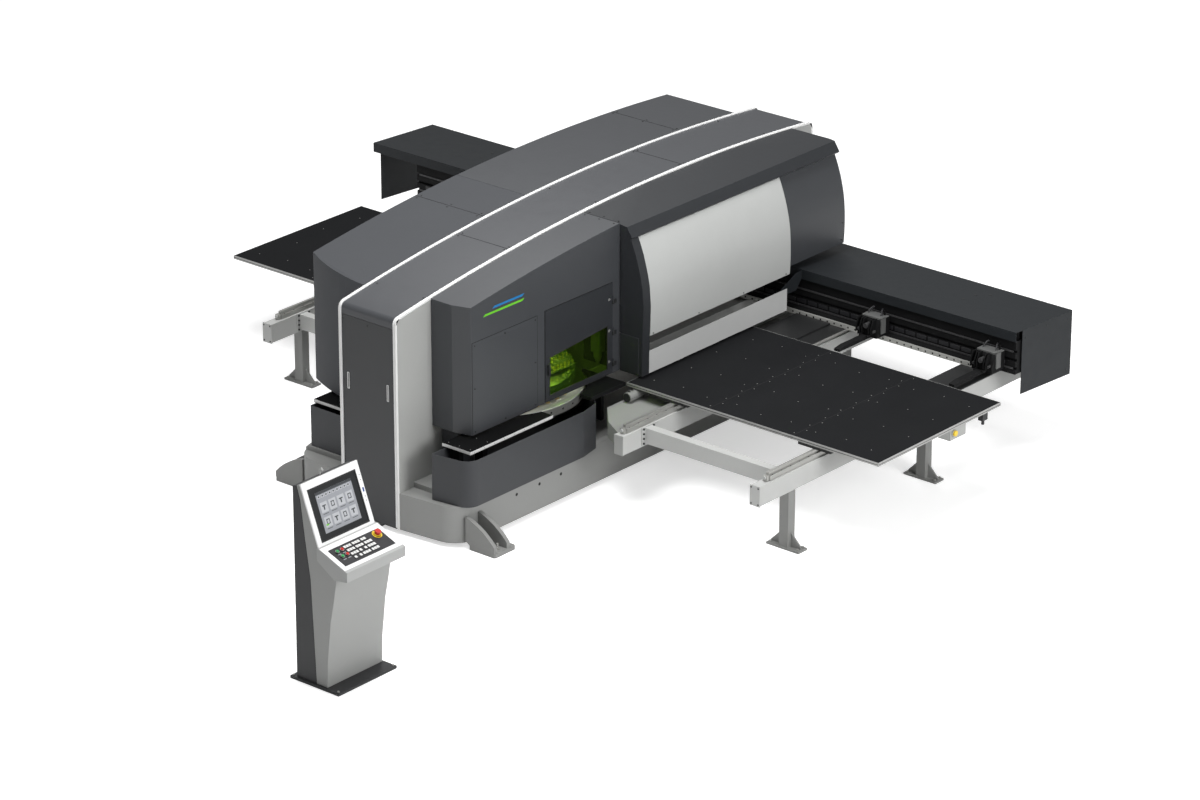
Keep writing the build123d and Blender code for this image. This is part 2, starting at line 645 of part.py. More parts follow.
# punch ram in its guide under the arm
RAM_Y = TURRET_Y + STATION_R
RAM_R = 45.0
GUIDE_FOOT = 1110.0
with BuildPart() as punch_ram:
    with BuildSketch(Plane.XY.offset(GUIDE_FOOT - 60.0)):
        with Locations((0.0, RAM_Y)):
            Circle(RAM_R)
    extrude(amount=THROAT_TOP - 3.0 - GUIDE_FOOT + 60.0)
save(punch_ram, "punch_ram")

with BuildPart() as ram_guide:
    with BuildSketch(Plane.XY.offset(GUIDE_FOOT)):
        with Locations((0.0, RAM_Y)):
            Rectangle(160.0, 150.0)
            Circle(RAM_R + PIN_CLEAR, mode=Mode.SUBTRACT)
    extrude(amount=THROAT_TOP - GUIDE_FOOT)
save(ram_guide, "ram_guide")

# laser cutting head on the side of the arm
with BuildPart() as laser_head:
    with BuildSketch(Plane.XY.offset(NOZZLE_Z + 130.0)):
        with Locations((LASER_X, LASER_Y)):
            Rectangle(100.0, 92.0)
        chamfer(vertices(), length=8.0)
    extrude(amount=420.0)
    with BuildSketch(Plane.XY.offset(NOZZLE_Z + 130.0)):
        with Locations((LASER_X, LASER_Y)):
            RegularPolygon(38.0, 16)
    extrude(amount=-60.0)
    with BuildSketch(Plane.XY.offset(NOZZLE_Z + 70.0)):
        with Locations((LASER_X, LASER_Y)):
            RegularPolygon(34.0, 16)
    extrude(amount=-70.0, taper=20.0)
save(laser_head, "laser_head")

# beams along Y on both sides, with end plates
with BuildPart() as outer_beams:
    for bx in (OUTER_X, -LEFT_OUTER_X):
        with Locations((bx, 0.5 * (OUTER_FRONT + 12.0 + BEAM_REAR), 0.5 * (BEAM_Z + BEAM_TOP))):
            Box(BEAM_W, BEAM_REAR - OUTER_FRONT - 12.0, BEAM_TOP - BEAM_Z)
        with Locations((bx, OUTER_FRONT + 6.0, 0.5 * (BEAM_Z + BEAM_TOP))):
            Box(BEAM_W + 14.0, 12.0, BEAM_TOP - BEAM_Z + 8.0)
save(outer_beams, "outer_beams")

with BuildPart() as inner_beams:
    for bx in (INNER_X, -INNER_X):
        with Locations((bx, 0.5 * (INNER_FRONT + BEAM_REAR), 0.5 * (BEAM_Z + BEAM_TOP))):
            Box(BEAM_W, BEAM_REAR - INNER_FRONT, BEAM_TOP - BEAM_Z)
save(inner_beams, "inner_beams")

# guide rails on risers along the beams
RAIL_FRONT = 1688.0
RAIL_REAR = 5480.0
RAIL_MID = 0.5 * (RAIL_FRONT + RAIL_REAR)
with BuildPart() as y_rails:
    for rx in (OUTER_X, INNER_X, -INNER_X, -LEFT_OUTER_X):
        with Locations((rx, RAIL_MID, BEAM_TOP + 22.0)):
            Box(62.0, RAIL_REAR - RAIL_FRONT, 44.0)
        with Locations((rx, RAIL_MID, 0.5 * (BEAM_TOP + 44.0 + RAIL_TOP))):
            Box(28.0, RAIL_REAR - RAIL_FRONT, RAIL_TOP - BEAM_TOP - 44.0)
save(y_rails, "y_rails")

# cross beams between inner and outer beams
HALF_W = 0.5 * BEAM_W
with BuildPart() as cross_beams:
    for x0, x1 in ((INNER_X + HALF_W, OUTER_X - HALF_W), (-LEFT_OUTER_X + HALF_W, -INNER_X - HALF_W)):
        for cy in (1945.0, 5240.0):
            with Locations((0.5 * (x0 + x1), cy, 642.0)):
                Box(x1 - x0 - 24.0, 90.0, 150.0)
            with Locations((x0 + 6.0, cy, 642.0), (x1 - 6.0, cy, 642.0)):
                Box(12.0, 170.0, 176.0)
save(cross_beams, "cross_beams")

# boxes that hang the inner beams from the base
with BuildPart() as beam_brackets:
    with BuildSketch(Plane.XY.offset(560.0)):
        with BuildLine():
            Polyline(
                (BASE_HALF, 2040.0), (1180.0, 1800.0), (INNER_X - HALF_W, 1660.0),
                (INNER_X - HALF_W, 2520.0), (BASE_HALF, 2520.0), (BASE_HALF, 2040.0),
            )
        make_face()
        with Locations((0.5 * (BASE_HALF + INNER_X - HALF_W), 5325.0)):
            Rectangle(INNER_X - HALF_W - BASE_HALF, 250.0)
    extrude(amount=BRACKET_TOP - 560.0)
    with BuildSketch(Plane.XY.offset(300.0)):
        with Locations((BASE_HALF + 19.0, 2290.0), (BASE_HALF + 19.0, 5325.0)):
            Rectangle(38.0, 240.0)
    extrude(amount=260.0)
    mirror(about=Plane.YZ)
save(beam_brackets, "beam_brackets")

# legs under the outer beams
with BuildPart() as beam_legs:
    for lx in (OUTER_X, -LEFT_OUTER_X):
        for ly in (1971.0, 3941.0):
            with Locations((lx, ly, 0.5 * (20.0 + BEAM_Z))):
                Box(100.0, 96.0, BEAM_Z - 20.0)
            with Locations((lx, ly, 10.0)):
                Box(357.0, 124.0, 20.0)
            with BuildSketch(Plane.XZ.offset(-(ly + 8.0))):
                with BuildLine():
                    Polyline(
                        (lx - 165.0, 20.0), (lx - 165.0, 34.0), (lx - 50.0, 150.0),
                        (lx + 50.0, 150.0), (lx + 165.0, 34.0), (lx + 165.0, 20.0), (lx - 165.0, 20.0),
                    )
                make_face()
            extrude(amount=16.0)
save(beam_legs, "beam_legs")

# Y drive: servo motor, screw and rear bearing
with BuildPart() as y_motor:
    with BuildSketch(Plane.XZ.offset(-MOTOR_Y)):
        with Locations((SCREW_X, SCREW_Z)):
            Circle(46.0)
    extrude(amount=-MOTOR_LEN + 40.0)
    with BuildSketch(Plane.XZ.offset(-(MOTOR_Y + MOTOR_LEN - 40.0))):
        with Locations((SCREW_X, SCREW_Z)):
            Rectangle(99.0, 99.0)
    extrude(amount=-40.0)
    with Locations((SCREW_X, MOTOR_Y + 50.0, SCREW_Z + 48.0)):
        Box(34.0, 40.0, 6.0)
    with Locations((SCREW_X, 5330.0, BRACKET_TOP + 45.0)):
        Box(90.0, 60.0, 90.0)
save(y_motor, "y_motor")

with BuildPart() as y_screw:
    with BuildSketch(Plane.XZ.offset(-(MOTOR_Y + MOTOR_LEN))):
        with Locations((SCREW_X, SCREW_Z)):
            Circle(SCREW_R)
    extrude(amount=-(5300.0 - MOTOR_Y - MOTOR_LEN))
save(y_screw, "y_screw")

# telescopic side guard: one fixed leaf and three that slide
LEAF_NAMES = ("guard_front_leaf", "guard_leaf_a", "guard_leaf_b", "guard_rear_leaf")
with BuildPart() as guard_front_leaf:
    with Locations((LEAF_X[0] + 0.5 * LEAF_T, 0.5 * sum(LEAF_Y[0]), 0.5 * (LEAF_Z0 + LEAF_Z1))):
        Box(LEAF_T, LEAF_Y[0][1] - LEAF_Y[0][0], LEAF_Z1 - LEAF_Z0)
save(guard_front_leaf, LEAF_NAMES[0])

with BuildPart() as guard_leaf_a:
    with Locations((LEAF_X[1] + 0.5 * LEAF_T, 0.5 * sum(LEAF_Y[1]), 0.5 * (LEAF_Z0 + LEAF_Z1))):
        Box(LEAF_T, LEAF_Y[1][1] - LEAF_Y[1][0], LEAF_Z1 - LEAF_Z0)
save(guard_leaf_a, LEAF_NAMES[1])

with BuildPart() as guard_leaf_b:
    with Locations((LEAF_X[2] + 0.5 * LEAF_T, 0.5 * sum(LEAF_Y[2]), 0.5 * (LEAF_Z0 + LEAF_Z1))):
        Box(LEAF_T, LEAF_Y[2][1] - LEAF_Y[2][0], LEAF_Z1 - LEAF_Z0)
save(guard_leaf_b, LEAF_NAMES[2])

with BuildPart() as guard_rear_leaf:
    with Locations((LEAF_X[3] + 0.5 * LEAF_T, 0.5 * sum(LEAF_Y[3]), 0.5 * (LEAF_Z0 + LEAF_Z1))):
        Box(LEAF_T, LEAF_Y[3][1] - LEAF_Y[3][0], LEAF_Z1 - LEAF_Z0)
save(guard_rear_leaf, LEAF_NAMES[3])

# moving tables, brush tops and light edge frames
SIDES = ((TABLE_IN, TABLE_OUT), (-LEFT_TABLE_OUT, -LEFT_TABLE_IN))
TABLE_MID_Y = 0.5 * (TABLE_FRONT + TABLE_REAR)
with BuildPart() as moving_table_tops:
    for tx0, tx1 in SIDES:
        with Locations((0.5 * (tx0 + tx1), TABLE_MID_Y, SHEET_Z - 0.5 * (TABLE_T - 5.0))):
            Box(tx1 - tx0 - 16.0, TABLE_REAR - TABLE_FRONT - 16.0, TABLE_T - 5.0)
save(moving_table_tops, "moving_table_tops")

with BuildPart() as moving_table_edges:
    with BuildSketch(Plane.XY.offset(SHEET_Z - TABLE_T)):
        for tx0, tx1 in SIDES:
            with Locations((0.5 * (tx0 + tx1), TABLE_MID_Y)):
                Rectangle(tx1 - tx0, TABLE_REAR - TABLE_FRONT)
                Rectangle(tx1 - tx0 - 16.0, TABLE_REAR - TABLE_FRONT - 16.0, mode=Mode.SUBTRACT)
    extrude(amount=TABLE_T - TABLE_SKIN)
    for tx0, tx1 in SIDES:
        with Locations((0.5 * (tx0 + tx1), TABLE_MID_Y, SHEET_Z - TABLE_T + 2.5)):
            Box(tx1 - tx0 - 16.0, TABLE_REAR - TABLE_FRONT - 16.0, 5.0)
save(moving_table_edges, "moving_table_edges")

# black slide plates under the tables and the cross beam
SLIDE_Z = RAIL_TOP + SHOE_GAP
with BuildPart() as slide_plates:
    for px, pw in ((OUTER_X, 355.0), (INNER_X, 200.0), (-INNER_X, 200.0), (-LEFT_OUTER_X, 355.0)):
        with Locations((px, 0.5 * (3230.0 + XBEAM_REAR), 0.5 * (SLIDE_Z + XBEAM_Z))):
            Box(pw, XBEAM_REAR - 3230.0, XBEAM_Z - SLIDE_Z)
        with Locations((px, 3665.0, 0.5 * (XBEAM_Z + SHEET_Z - TABLE_T))):
            Box(pw, 870.0, SHEET_Z - TABLE_T - XBEAM_Z)
        with Locations((px, 2500.0, 0.5 * (SLIDE_Z + SHEET_Z - TABLE_T))):
            Box(355.0, 330.0, SHEET_Z - TABLE_T - SLIDE_Z)
        for sx in (-1.0, 1.0):
            for sy in (3300.0, 3900.0, 5060.0):
                with Locations((px + sx * 38.0, sy, 0.5 * (BEAM_TOP + 48.0 + SLIDE_Z))):
                    Box(40.0, 110.0, SLIDE_Z - BEAM_TOP - 48.0)
    with Locations((0.5 * (INNER_X - 60.5 + TABLE_IN + 65.0), 0.5 * (TABLE_REAR + 4690.0), SHEET_Z - 47.5)):
        Box(INNER_X - 60.5 - TABLE_IN - 65.0, 4690.0 - TABLE_REAR, 25.0)
save(slide_plates, "slide_plates")

# cross beam that carries the clamp carriage
with BuildPart() as x_beam:
    with BuildSketch(Plane.YZ.offset(XBEAM_LEFT)):
        with BuildLine():
            Polyline(
                (XBEAM_FRONT, XBEAM_Z), (XBEAM_FRONT, 850.0), (XBEAM_FRONT + 24.0, 850.0),
                (XBEAM_FRONT + 24.0, 876.0), (XBEAM_FRONT, 876.0), (XBEAM_FRONT, 930.0),
                (XBEAM_FRONT + 24.0, 930.0), (XBEAM_FRONT + 24.0, 956.0), (XBEAM_FRONT, 956.0),
                (XBEAM_FRONT, 1010.0), (XBEAM_FRONT + 24.0, 1010.0), (XBEAM_FRONT + 24.0, 1036.0),
                (XBEAM_FRONT, 1036.0), (XBEAM_FRONT, XBEAM_TOP), (XBEAM_REAR, XBEAM_TOP),
                (XBEAM_REAR, XBEAM_Z), (XBEAM_FRONT, XBEAM_Z),
            )
        make_face()
    extrude(amount=XBEAM_RIGHT - XBEAM_LEFT)
    with BuildSketch(Plane.XZ.offset(-4900.0)):
        with Locations((SCREW_X, SCREW_Z)):
            Rectangle(80.0, 2.0 * (XBEAM_Z - SCREW_Z))
            Circle(SCREW_R + NUT_CLEAR, mode=Mode.SUBTRACT)
    extrude(amount=-90.0)
    for rx in (XBEAM_LEFT + 20.0, -2600.0, -900.0, 700.0, 2000.0, XBEAM_RIGHT - 65.0):
        with BuildSketch(Plane.YZ.offset(rx)):
            with BuildLine():
                Polyline(
                    (4860.0, XBEAM_TOP), (4860.0, cover_under(4860.0)), (5160.0, cover_under(5160.0)),
                    (5160.0, XBEAM_TOP), (4860.0, XBEAM_TOP),
                )
            make_face()
        extrude(amount=40.0)
save(x_beam, "x_beam")

# long cover over the cross beam
with BuildPart() as carriage_cover:
    with BuildSketch(Plane.YZ.offset(COVER_LEFT)):
        with BuildLine():
            Polyline(
                (COVER_FRONT, 1130.0), (COVER_FRONT, COVER_TOP), (COVER_REAR, COVER_REAR_TOP),
                (COVER_REAR, 830.0), (COVER_REAR - COVER_T, 830.0),
                (COVER_REAR - COVER_T, COVER_REAR_TOP - COVER_T),
                (COVER_FRONT + COVER_T, COVER_TOP - COVER_T), (COVER_FRONT + COVER_T, 1130.0),
                (COVER_FRONT, 1130.0),
            )
        make_face()
    extrude(amount=COVER_RIGHT - COVER_LEFT)
    for ex in (COVER_LEFT, COVER_RIGHT - COVER_T):
        with BuildSketch(Plane.YZ.offset(ex)):
            with BuildLine():
                Polyline(
                    (COVER_FRONT + COVER_INSET, 602.0),
                    (COVER_FRONT + COVER_INSET, cover_under(COVER_FRONT + COVER_INSET)),
                    (COVER_REAR - COVER_T, cover_under(COVER_REAR - COVER_T)),
                    (COVER_REAR, COVER_REAR_TOP), (COVER_REAR, 560.0),
                    (COVER_FRONT + COVER_INSET, 602.0),
                )
            make_face()
        extrude(amount=COVER_T)
    with BuildSketch(Plane.YZ.offset(LEAF_X[3] - 6.0)):
        with BuildLine():
            Polyline(
                (4440.0, 1040.0), (4440.0, 1096.0), (4560.0, 1150.0), (4700.0, 1212.0),
                (COVER_FRONT, 1212.0), (COVER_FRONT, 1130.0), (4700.0, 1040.0), (4440.0, 1040.0),
            )
        make_face()
    extrude(amount=6.0)
save(carriage_cover, "carriage_cover")

# clamp carriage: perforated bar on a shelf, with the clamp bodies on it
RAIL_FOOT = XBEAM_Z + 2.0
with BuildPart() as clamp_rail:
    with Locations((1500.0, RAIL_BAR_Y + 0.5 * RAIL_BAR_T, 0.5 * (RAIL_FOOT + BODY_BOTTOM))):
        Box(3400.0, RAIL_BAR_T, BODY_BOTTOM - RAIL_FOOT)
    with Locations((1500.0, 0.5 * (RAIL_BAR_Y + XBEAM_FRONT - SHOE_GAP), BODY_BOTTOM - 6.0)):
        Box(3400.0, XBEAM_FRONT - SHOE_GAP - RAIL_BAR_Y, 12.0)
save(clamp_rail, "clamp_rail")

BODY_REAR = XBEAM_FRONT - 15.0
with BuildPart() as clamp_bodies:
    for cx in CLAMP_X:
        with BuildSketch(Plane.YZ.offset(cx - 0.5 * CLAMP_W)):
            with BuildLine():
                Polyline(
                    (BODY_FRONT, BODY_BOTTOM), (BODY_FRONT, BODY_BOTTOM + 60.0), (BODY_FRONT + 60.0, BODY_TOP),
                    (BODY_REAR, BODY_TOP), (BODY_REAR, BODY_BOTTOM), (BODY_FRONT, BODY_BOTTOM),
                )
            make_face()
        extrude(amount=CLAMP_W)
        with Locations((cx, 0.5 * (JAW_TIP + BODY_FRONT) + 10.0, BODY_BOTTOM)):
            Box(60.0, BODY_FRONT - JAW_TIP + 20.0, 18.0)
        with Locations((cx - 45.0, JAW_PIVOT_Y + 20.0, 869.0), (cx + 45.0, JAW_PIVOT_Y + 20.0, 869.0)):
            Box(16.0, 70.0, 18.0)
        with Locations((cx - 82.0, 4752.0, BODY_TOP + 25.0), (cx + 82.0, 4752.0, BODY_TOP + 25.0)):
            Box(12.0, 12.0, 50.0)
        with BuildSketch(Plane.YZ.offset(cx - 45.0)):
            with Locations((JAW_PIVOT_Y, JAW_PIVOT_Z)):
                Circle(PIN_R)
        extrude(amount=90.0)
save(clamp_bodies, "clamp_bodies")

for index, cx in enumerate(CLAMP_X):
    with BuildPart() as jaw:
        with BuildSketch(Plane.YZ.offset(cx - 30.0)):
            with BuildLine():
                Polyline(
                    (JAW_TIP, 860.5), (JAW_TIP, 864.0), (JAW_TIP + 90.0, 877.0),
                    (JAW_PIVOT_Y, 877.0), (JAW_PIVOT_Y, 860.5), (JAW_TIP, 860.5),
                )
            make_face()
        extrude(amount=60.0)
        with BuildSketch(Plane.YZ.offset(cx - 30.0)):
            with Locations((JAW_PIVOT_Y, JAW_PIVOT_Z)):
                Circle(9.0)
            with Locations((JAW_PIVOT_Y, 856.5)):
                Rectangle(40.0, 8.0, mode=Mode.SUBTRACT)
        extrude(amount=60.0)
        with BuildSketch(Plane.YZ.offset(cx - 31.0)):
            with Locations((JAW_PIVOT_Y, JAW_PIVOT_Z)):
                Circle(PIN_R + PIN_CLEAR)
        extrude(amount=62.0, mode=Mode.SUBTRACT)
    save(jaw, f"jaw_{index + 1}")

# switch box under the right table's edge, with its push button
BOX_FACE = 3705.0
BOX_MID = (3470.0, 762.0)
SWITCH_R = 26.0
with BuildPart() as switch_box:
    with Locations((BOX_FACE - 65.0, BOX_MID[0] + 60.0, BOX_MID[1])):
        Box(130.0, 230.0, 126.0)
    with BuildSketch(Plane.YZ.offset(BOX_FACE)):
        with Locations(BOX_MID):
            RegularPolygon(SWITCH_R + 11.0, 8)
            RegularPolygon(SWITCH_R + PIN_CLEAR, 8, major_radius=False, mode=Mode.SUBTRACT)
    extrude(amount=10.0)
save(switch_box, "switch_box")

with BuildPart() as switch_button:
    with BuildSketch(Plane.YZ.offset(BOX_FACE + BUTTON_LIFT)):
        with Locations(BOX_MID):
            Circle(SWITCH_R)
    extrude(amount=18.0)
save(switch_button, "switch_button")

# operator console: dark rear shell on its foot plate
REAR_LINE = ((1850.0, PLATE_T), (1840.0, 238.0), (1823.0, 590.0), (1807.0, 939.0), (1757.0, 1276.0),
             (1713.0, 1614.0), (1678.0, 1728.0))
with BuildPart() as console_shell:
    with Locations((1843.0, CON_MID, 0.5 * PLATE_T)):
        Box(540.0, 2.0 * PLATE_HALF, PLATE_T)
    with BuildSketch(Plane.XZ.offset(-(CON_MID - CON_HALF))):
        with BuildLine():
            Polyline((1630.0, PLATE_T), *REAR_LINE, (1634.0, 1715.0), (1630.0, PLATE_T))
        make_face()
    extrude(amount=-2.0 * CON_HALF)
save(console_shell, "console_shell")

# bearing faces of the screen frame and the desk on the light front body
HEAD_LEN = math.hypot(HEAD_X1 - HEAD_X0, HEAD_Z0 - HEAD_Z1)
LEAN_X = FRAME_T * (HEAD_Z0 - HEAD_Z1) / HEAD_LEN
LEAN_Z = FRAME_T * (HEAD_X1 - HEAD_X0) / HEAD_LEN
SEAT_TOP = (HEAD_X0 - LEAN_X, HEAD_Z0 - LEAN_Z)
SEAT_FOOT = (HEAD_X1 - LEAN_X, HEAD_Z1 - LEAN_Z)
DESK_BACK = (1905.0, 1140.0)
DESK_KNEE = (2091.0, 1022.0)
with BuildPart() as console_body:
    with BuildSketch(Plane.XZ.offset(-(CON_MID - CON_HALF))):
        with BuildLine():
            Polyline(
                REAR_LINE[0], (1972.0, PLATE_T), (1980.0, 260.0), (2000.0, 430.0), (2021.0, 620.0),
                (2055.0, 784.0), (2091.0, 985.0), DESK_KNEE, DESK_BACK, SEAT_FOOT, SEAT_TOP,
                *reversed(REAR_LINE),
            )
        make_face()
    extrude(amount=-2.0 * CON_HALF)
save(console_body, "console_body")

SLOPE_X = math.cos(math.radians(SHELF_SLOPE))
SLOPE_Z = math.sin(math.radians(SHELF_SLOPE))
SHELF_PLANE = Plane(
    origin=(SHELF_X, CON_MID, SHELF_Z),
    x_dir=(SLOPE_X, 0, -SLOPE_Z),
    z_dir=(SLOPE_Z, 0, SLOPE_X),
)
with BuildPart() as console_desk:
    with BuildSketch(Plane.XZ.offset(-(CON_MID - DESK_HALF))):
        with BuildLine():
            Polyline(
                DESK_BACK, DESK_KNEE, (2231.0, 1042.0),
                (SHELF_X + SHELF_RUN, SHELF_Z - SHELF_RUN * SLOPE_Z / SLOPE_X),
                (SHELF_X, SHELF_Z), (HEAD_X1, HEAD_Z1), SEAT_FOOT, DESK_BACK,
            )
        make_face()
    extrude(amount=-2.0 * DESK_HALF)
save(console_desk, "console_desk")

# black key panel with its blocks of keys and the collar of the emergency stop
PAD_LIFT = 0.2
PAD_T = 3.0
with BuildPart() as keypad:
    with BuildSketch(SHELF_PLANE.offset(PAD_LIFT)):
        with Locations((160.0, 0.0)):
            Rectangle(210.0, 590.0)
    extrude(amount=PAD_T)
    with BuildSketch(SHELF_PLANE.offset(PAD_LIFT + PAD_T)):
        with Locations((160.0, -8.0)):
            with GridLocations(44.0, 100.0, 4, 3):
                Rectangle(30.0, 88.0)
    extrude(amount=4.0)
    with BuildSketch(SHELF_PLANE.offset(PAD_LIFT + PAD_T)):
        with Locations(STOP_PLACE):
            RegularPolygon(STOP_R + 13.0, 8)
            RegularPolygon(STOP_R + PIN_CLEAR, 8, major_radius=False, mode=Mode.SUBTRACT)
    extrude(amount=BUTTON_LIFT + 2.0)
    with BuildSketch(SHELF_PLANE.offset(PAD_LIFT + PAD_T)):
        for along in BUTTON_ROWS:
            for across in BUTTON_COLUMNS:
                with Locations((along, across)):
                    RegularPolygon(BUTTON_R + 5.0, 8)
                    RegularPolygon(BUTTON_R + PIN_CLEAR, 8, major_radius=False, mode=Mode.SUBTRACT)
    extrude(amount=BUTTON_LIFT + 2.0)
save(keypad, "keypad")

BUTTON_SEAT = PAD_LIFT + PAD_T + BUTTON_LIFT
for button_name, along, across in (
    ("start_button", BUTTON_ROWS[0], BUTTON_COLUMNS[0]),
    ("stop_button", BUTTON_ROWS[0], BUTTON_COLUMNS[1]),
    ("feed_start_button", BUTTON_ROWS[1], BUTTON_COLUMNS[0]),
    ("feed_stop_button", BUTTON_ROWS[1], BUTTON_COLUMNS[1]),
):
    with BuildPart() as button:
        with BuildSketch(SHELF_PLANE.offset(BUTTON_SEAT)):
            with Locations((along, across)):
                RegularPolygon(BUTTON_R, 8, major_radius=False)
        extrude(amount=9.0)
    save(button, button_name)

with BuildPart() as emergency_stop:
    with BuildSketch(SHELF_PLANE.offset(BUTTON_SEAT)):
        with Locations(STOP_PLACE):
            Circle(STOP_R)
    extrude(amount=24.0)
save(emergency_stop, "emergency_stop")

HEAD_PLANE = Plane(
    origin=(0.5 * (SEAT_TOP[0] + SEAT_FOOT[0]), CON_MID, 0.5 * (SEAT_TOP[1] + SEAT_FOOT[1])),
    x_dir=(0, 1, 0),
    z_dir=(HEAD_Z0 - HEAD_Z1, 0, HEAD_X1 - HEAD_X0),
)
with BuildPart() as screen_frame:
    with BuildSketch(HEAD_PLANE):
        Rectangle(2.0 * CON_HALF + 10.0, HEAD_LEN)
        with Locations((0.0, 0.5 * HEAD_LEN - SCREEN_DOWN)):
            Rectangle(SCREEN_W, SCREEN_H, mode=Mode.SUBTRACT)
    extrude(amount=FRAME_T)
save(screen_frame, "screen_frame")

with BuildPart() as screen:
    with BuildSketch(HEAD_PLANE):
        with Locations((0.0, 0.5 * HEAD_LEN - SCREEN_DOWN)):
            Rectangle(SCREEN_W, SCREEN_H)
    extrude(amount=FRAME_T - 4.0)
save(screen, "screen")
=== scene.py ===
"""Looks of a punch laser combination machine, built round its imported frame."""
import logging
import math
from dataclasses import dataclass, field
from enum import Enum
from typing import Optional, Sequence, Union

import bmesh
import bpy
from mathutils import Matrix, Vector


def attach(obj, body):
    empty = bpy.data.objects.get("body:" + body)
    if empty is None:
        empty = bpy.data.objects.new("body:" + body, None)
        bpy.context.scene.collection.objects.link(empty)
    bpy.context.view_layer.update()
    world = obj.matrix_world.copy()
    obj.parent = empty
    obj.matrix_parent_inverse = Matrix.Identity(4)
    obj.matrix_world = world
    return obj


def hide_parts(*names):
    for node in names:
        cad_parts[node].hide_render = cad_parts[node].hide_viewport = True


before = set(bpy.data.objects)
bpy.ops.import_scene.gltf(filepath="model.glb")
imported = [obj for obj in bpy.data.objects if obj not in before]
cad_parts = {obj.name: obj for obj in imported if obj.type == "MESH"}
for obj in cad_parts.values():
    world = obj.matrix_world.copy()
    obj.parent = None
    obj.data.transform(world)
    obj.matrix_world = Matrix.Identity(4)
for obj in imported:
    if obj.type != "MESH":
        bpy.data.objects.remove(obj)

log = logging.getLogger("machine")
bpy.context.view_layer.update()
MM = 0.001
Point = Sequence[float]
Number = Union[int, float]


class Body(Enum):
    """Bodies that visual pieces ride on."""

    FRAME = "frame"
    CARRIAGE = "y_carriage"
    CLAMPS = "clamp_carriage"
    UPPER_DISC = "upper_disc"
    LOWER_DISC = "lower_disc"
    DOOR = "door_leaf"
    EMERGENCY = "emergency_body"


# ---------------------------------------------------------------- shader graph
class Value:
    """One output of a shader graph that takes part in sums like a number."""

    def __init__(self, graph: "Graph", socket: Optional[bpy.types.NodeSocket]) -> None:
        """Keeps the graph and one socket of it."""
        self.graph = graph
        self.socket = socket

    def _math(self, operation: str, other: Union["Value", Number], swap: bool = False) -> "Value":
        """Adds one Math node, with the operands swapped for reflected operators."""
        pair = (other, self) if swap else (self, other)
        return self.graph.node("ShaderNodeMath", {"operation": operation}, {0: pair[0], 1: pair[1]})

    def __add__(self, other: Union["Value", Number]) -> "Value":
        """Sum."""
        return self._math("ADD", other)

    def __radd__(self, other: Union["Value", Number]) -> "Value":
        """Sum with a number on the left."""
        return self._math("ADD", other, True)

    def __sub__(self, other: Union["Value", Number]) -> "Value":
        """Difference."""
        return self._math("SUBTRACT", other)

    def __rsub__(self, other: Union["Value", Number]) -> "Value":
        """Difference from a number."""
        return self._math("SUBTRACT", other, True)

    def __mul__(self, other: Union["Value", Number]) -> "Value":
        """Product."""
        return self._math("MULTIPLY", other)

    def __rmul__(self, other: Union["Value", Number]) -> "Value":
        """Product with a number on the left."""
        return self._math("MULTIPLY", other, True)

    def __truediv__(self, other: Union["Value", Number]) -> "Value":
        """Quotient."""
        return self._math("DIVIDE", other)

    def __gt__(self, other: Union["Value", Number]) -> "Value":
        """Mask of 1 where the value is above the other."""
        return self._math("GREATER_THAN", other)

    def wave(self) -> "Value":
        """Sine of the value."""
        return self._math("SINE", 0.0)

    def root(self) -> "Value":
        """Square root of the value."""
        return self._math("SQRT", 0.0)

    def span(self, low: float, high: float) -> "Value":
        """Value that ran from 0 to 1, clamped and spread over low to high.

        Args:
            low: result at 0.
            high: result at 1.

        Returns:
            The spread value.
        """
        return self.graph.node("ShaderNodeMapRange", {"clamp": True}, {3: low, 4: high, 0: self})


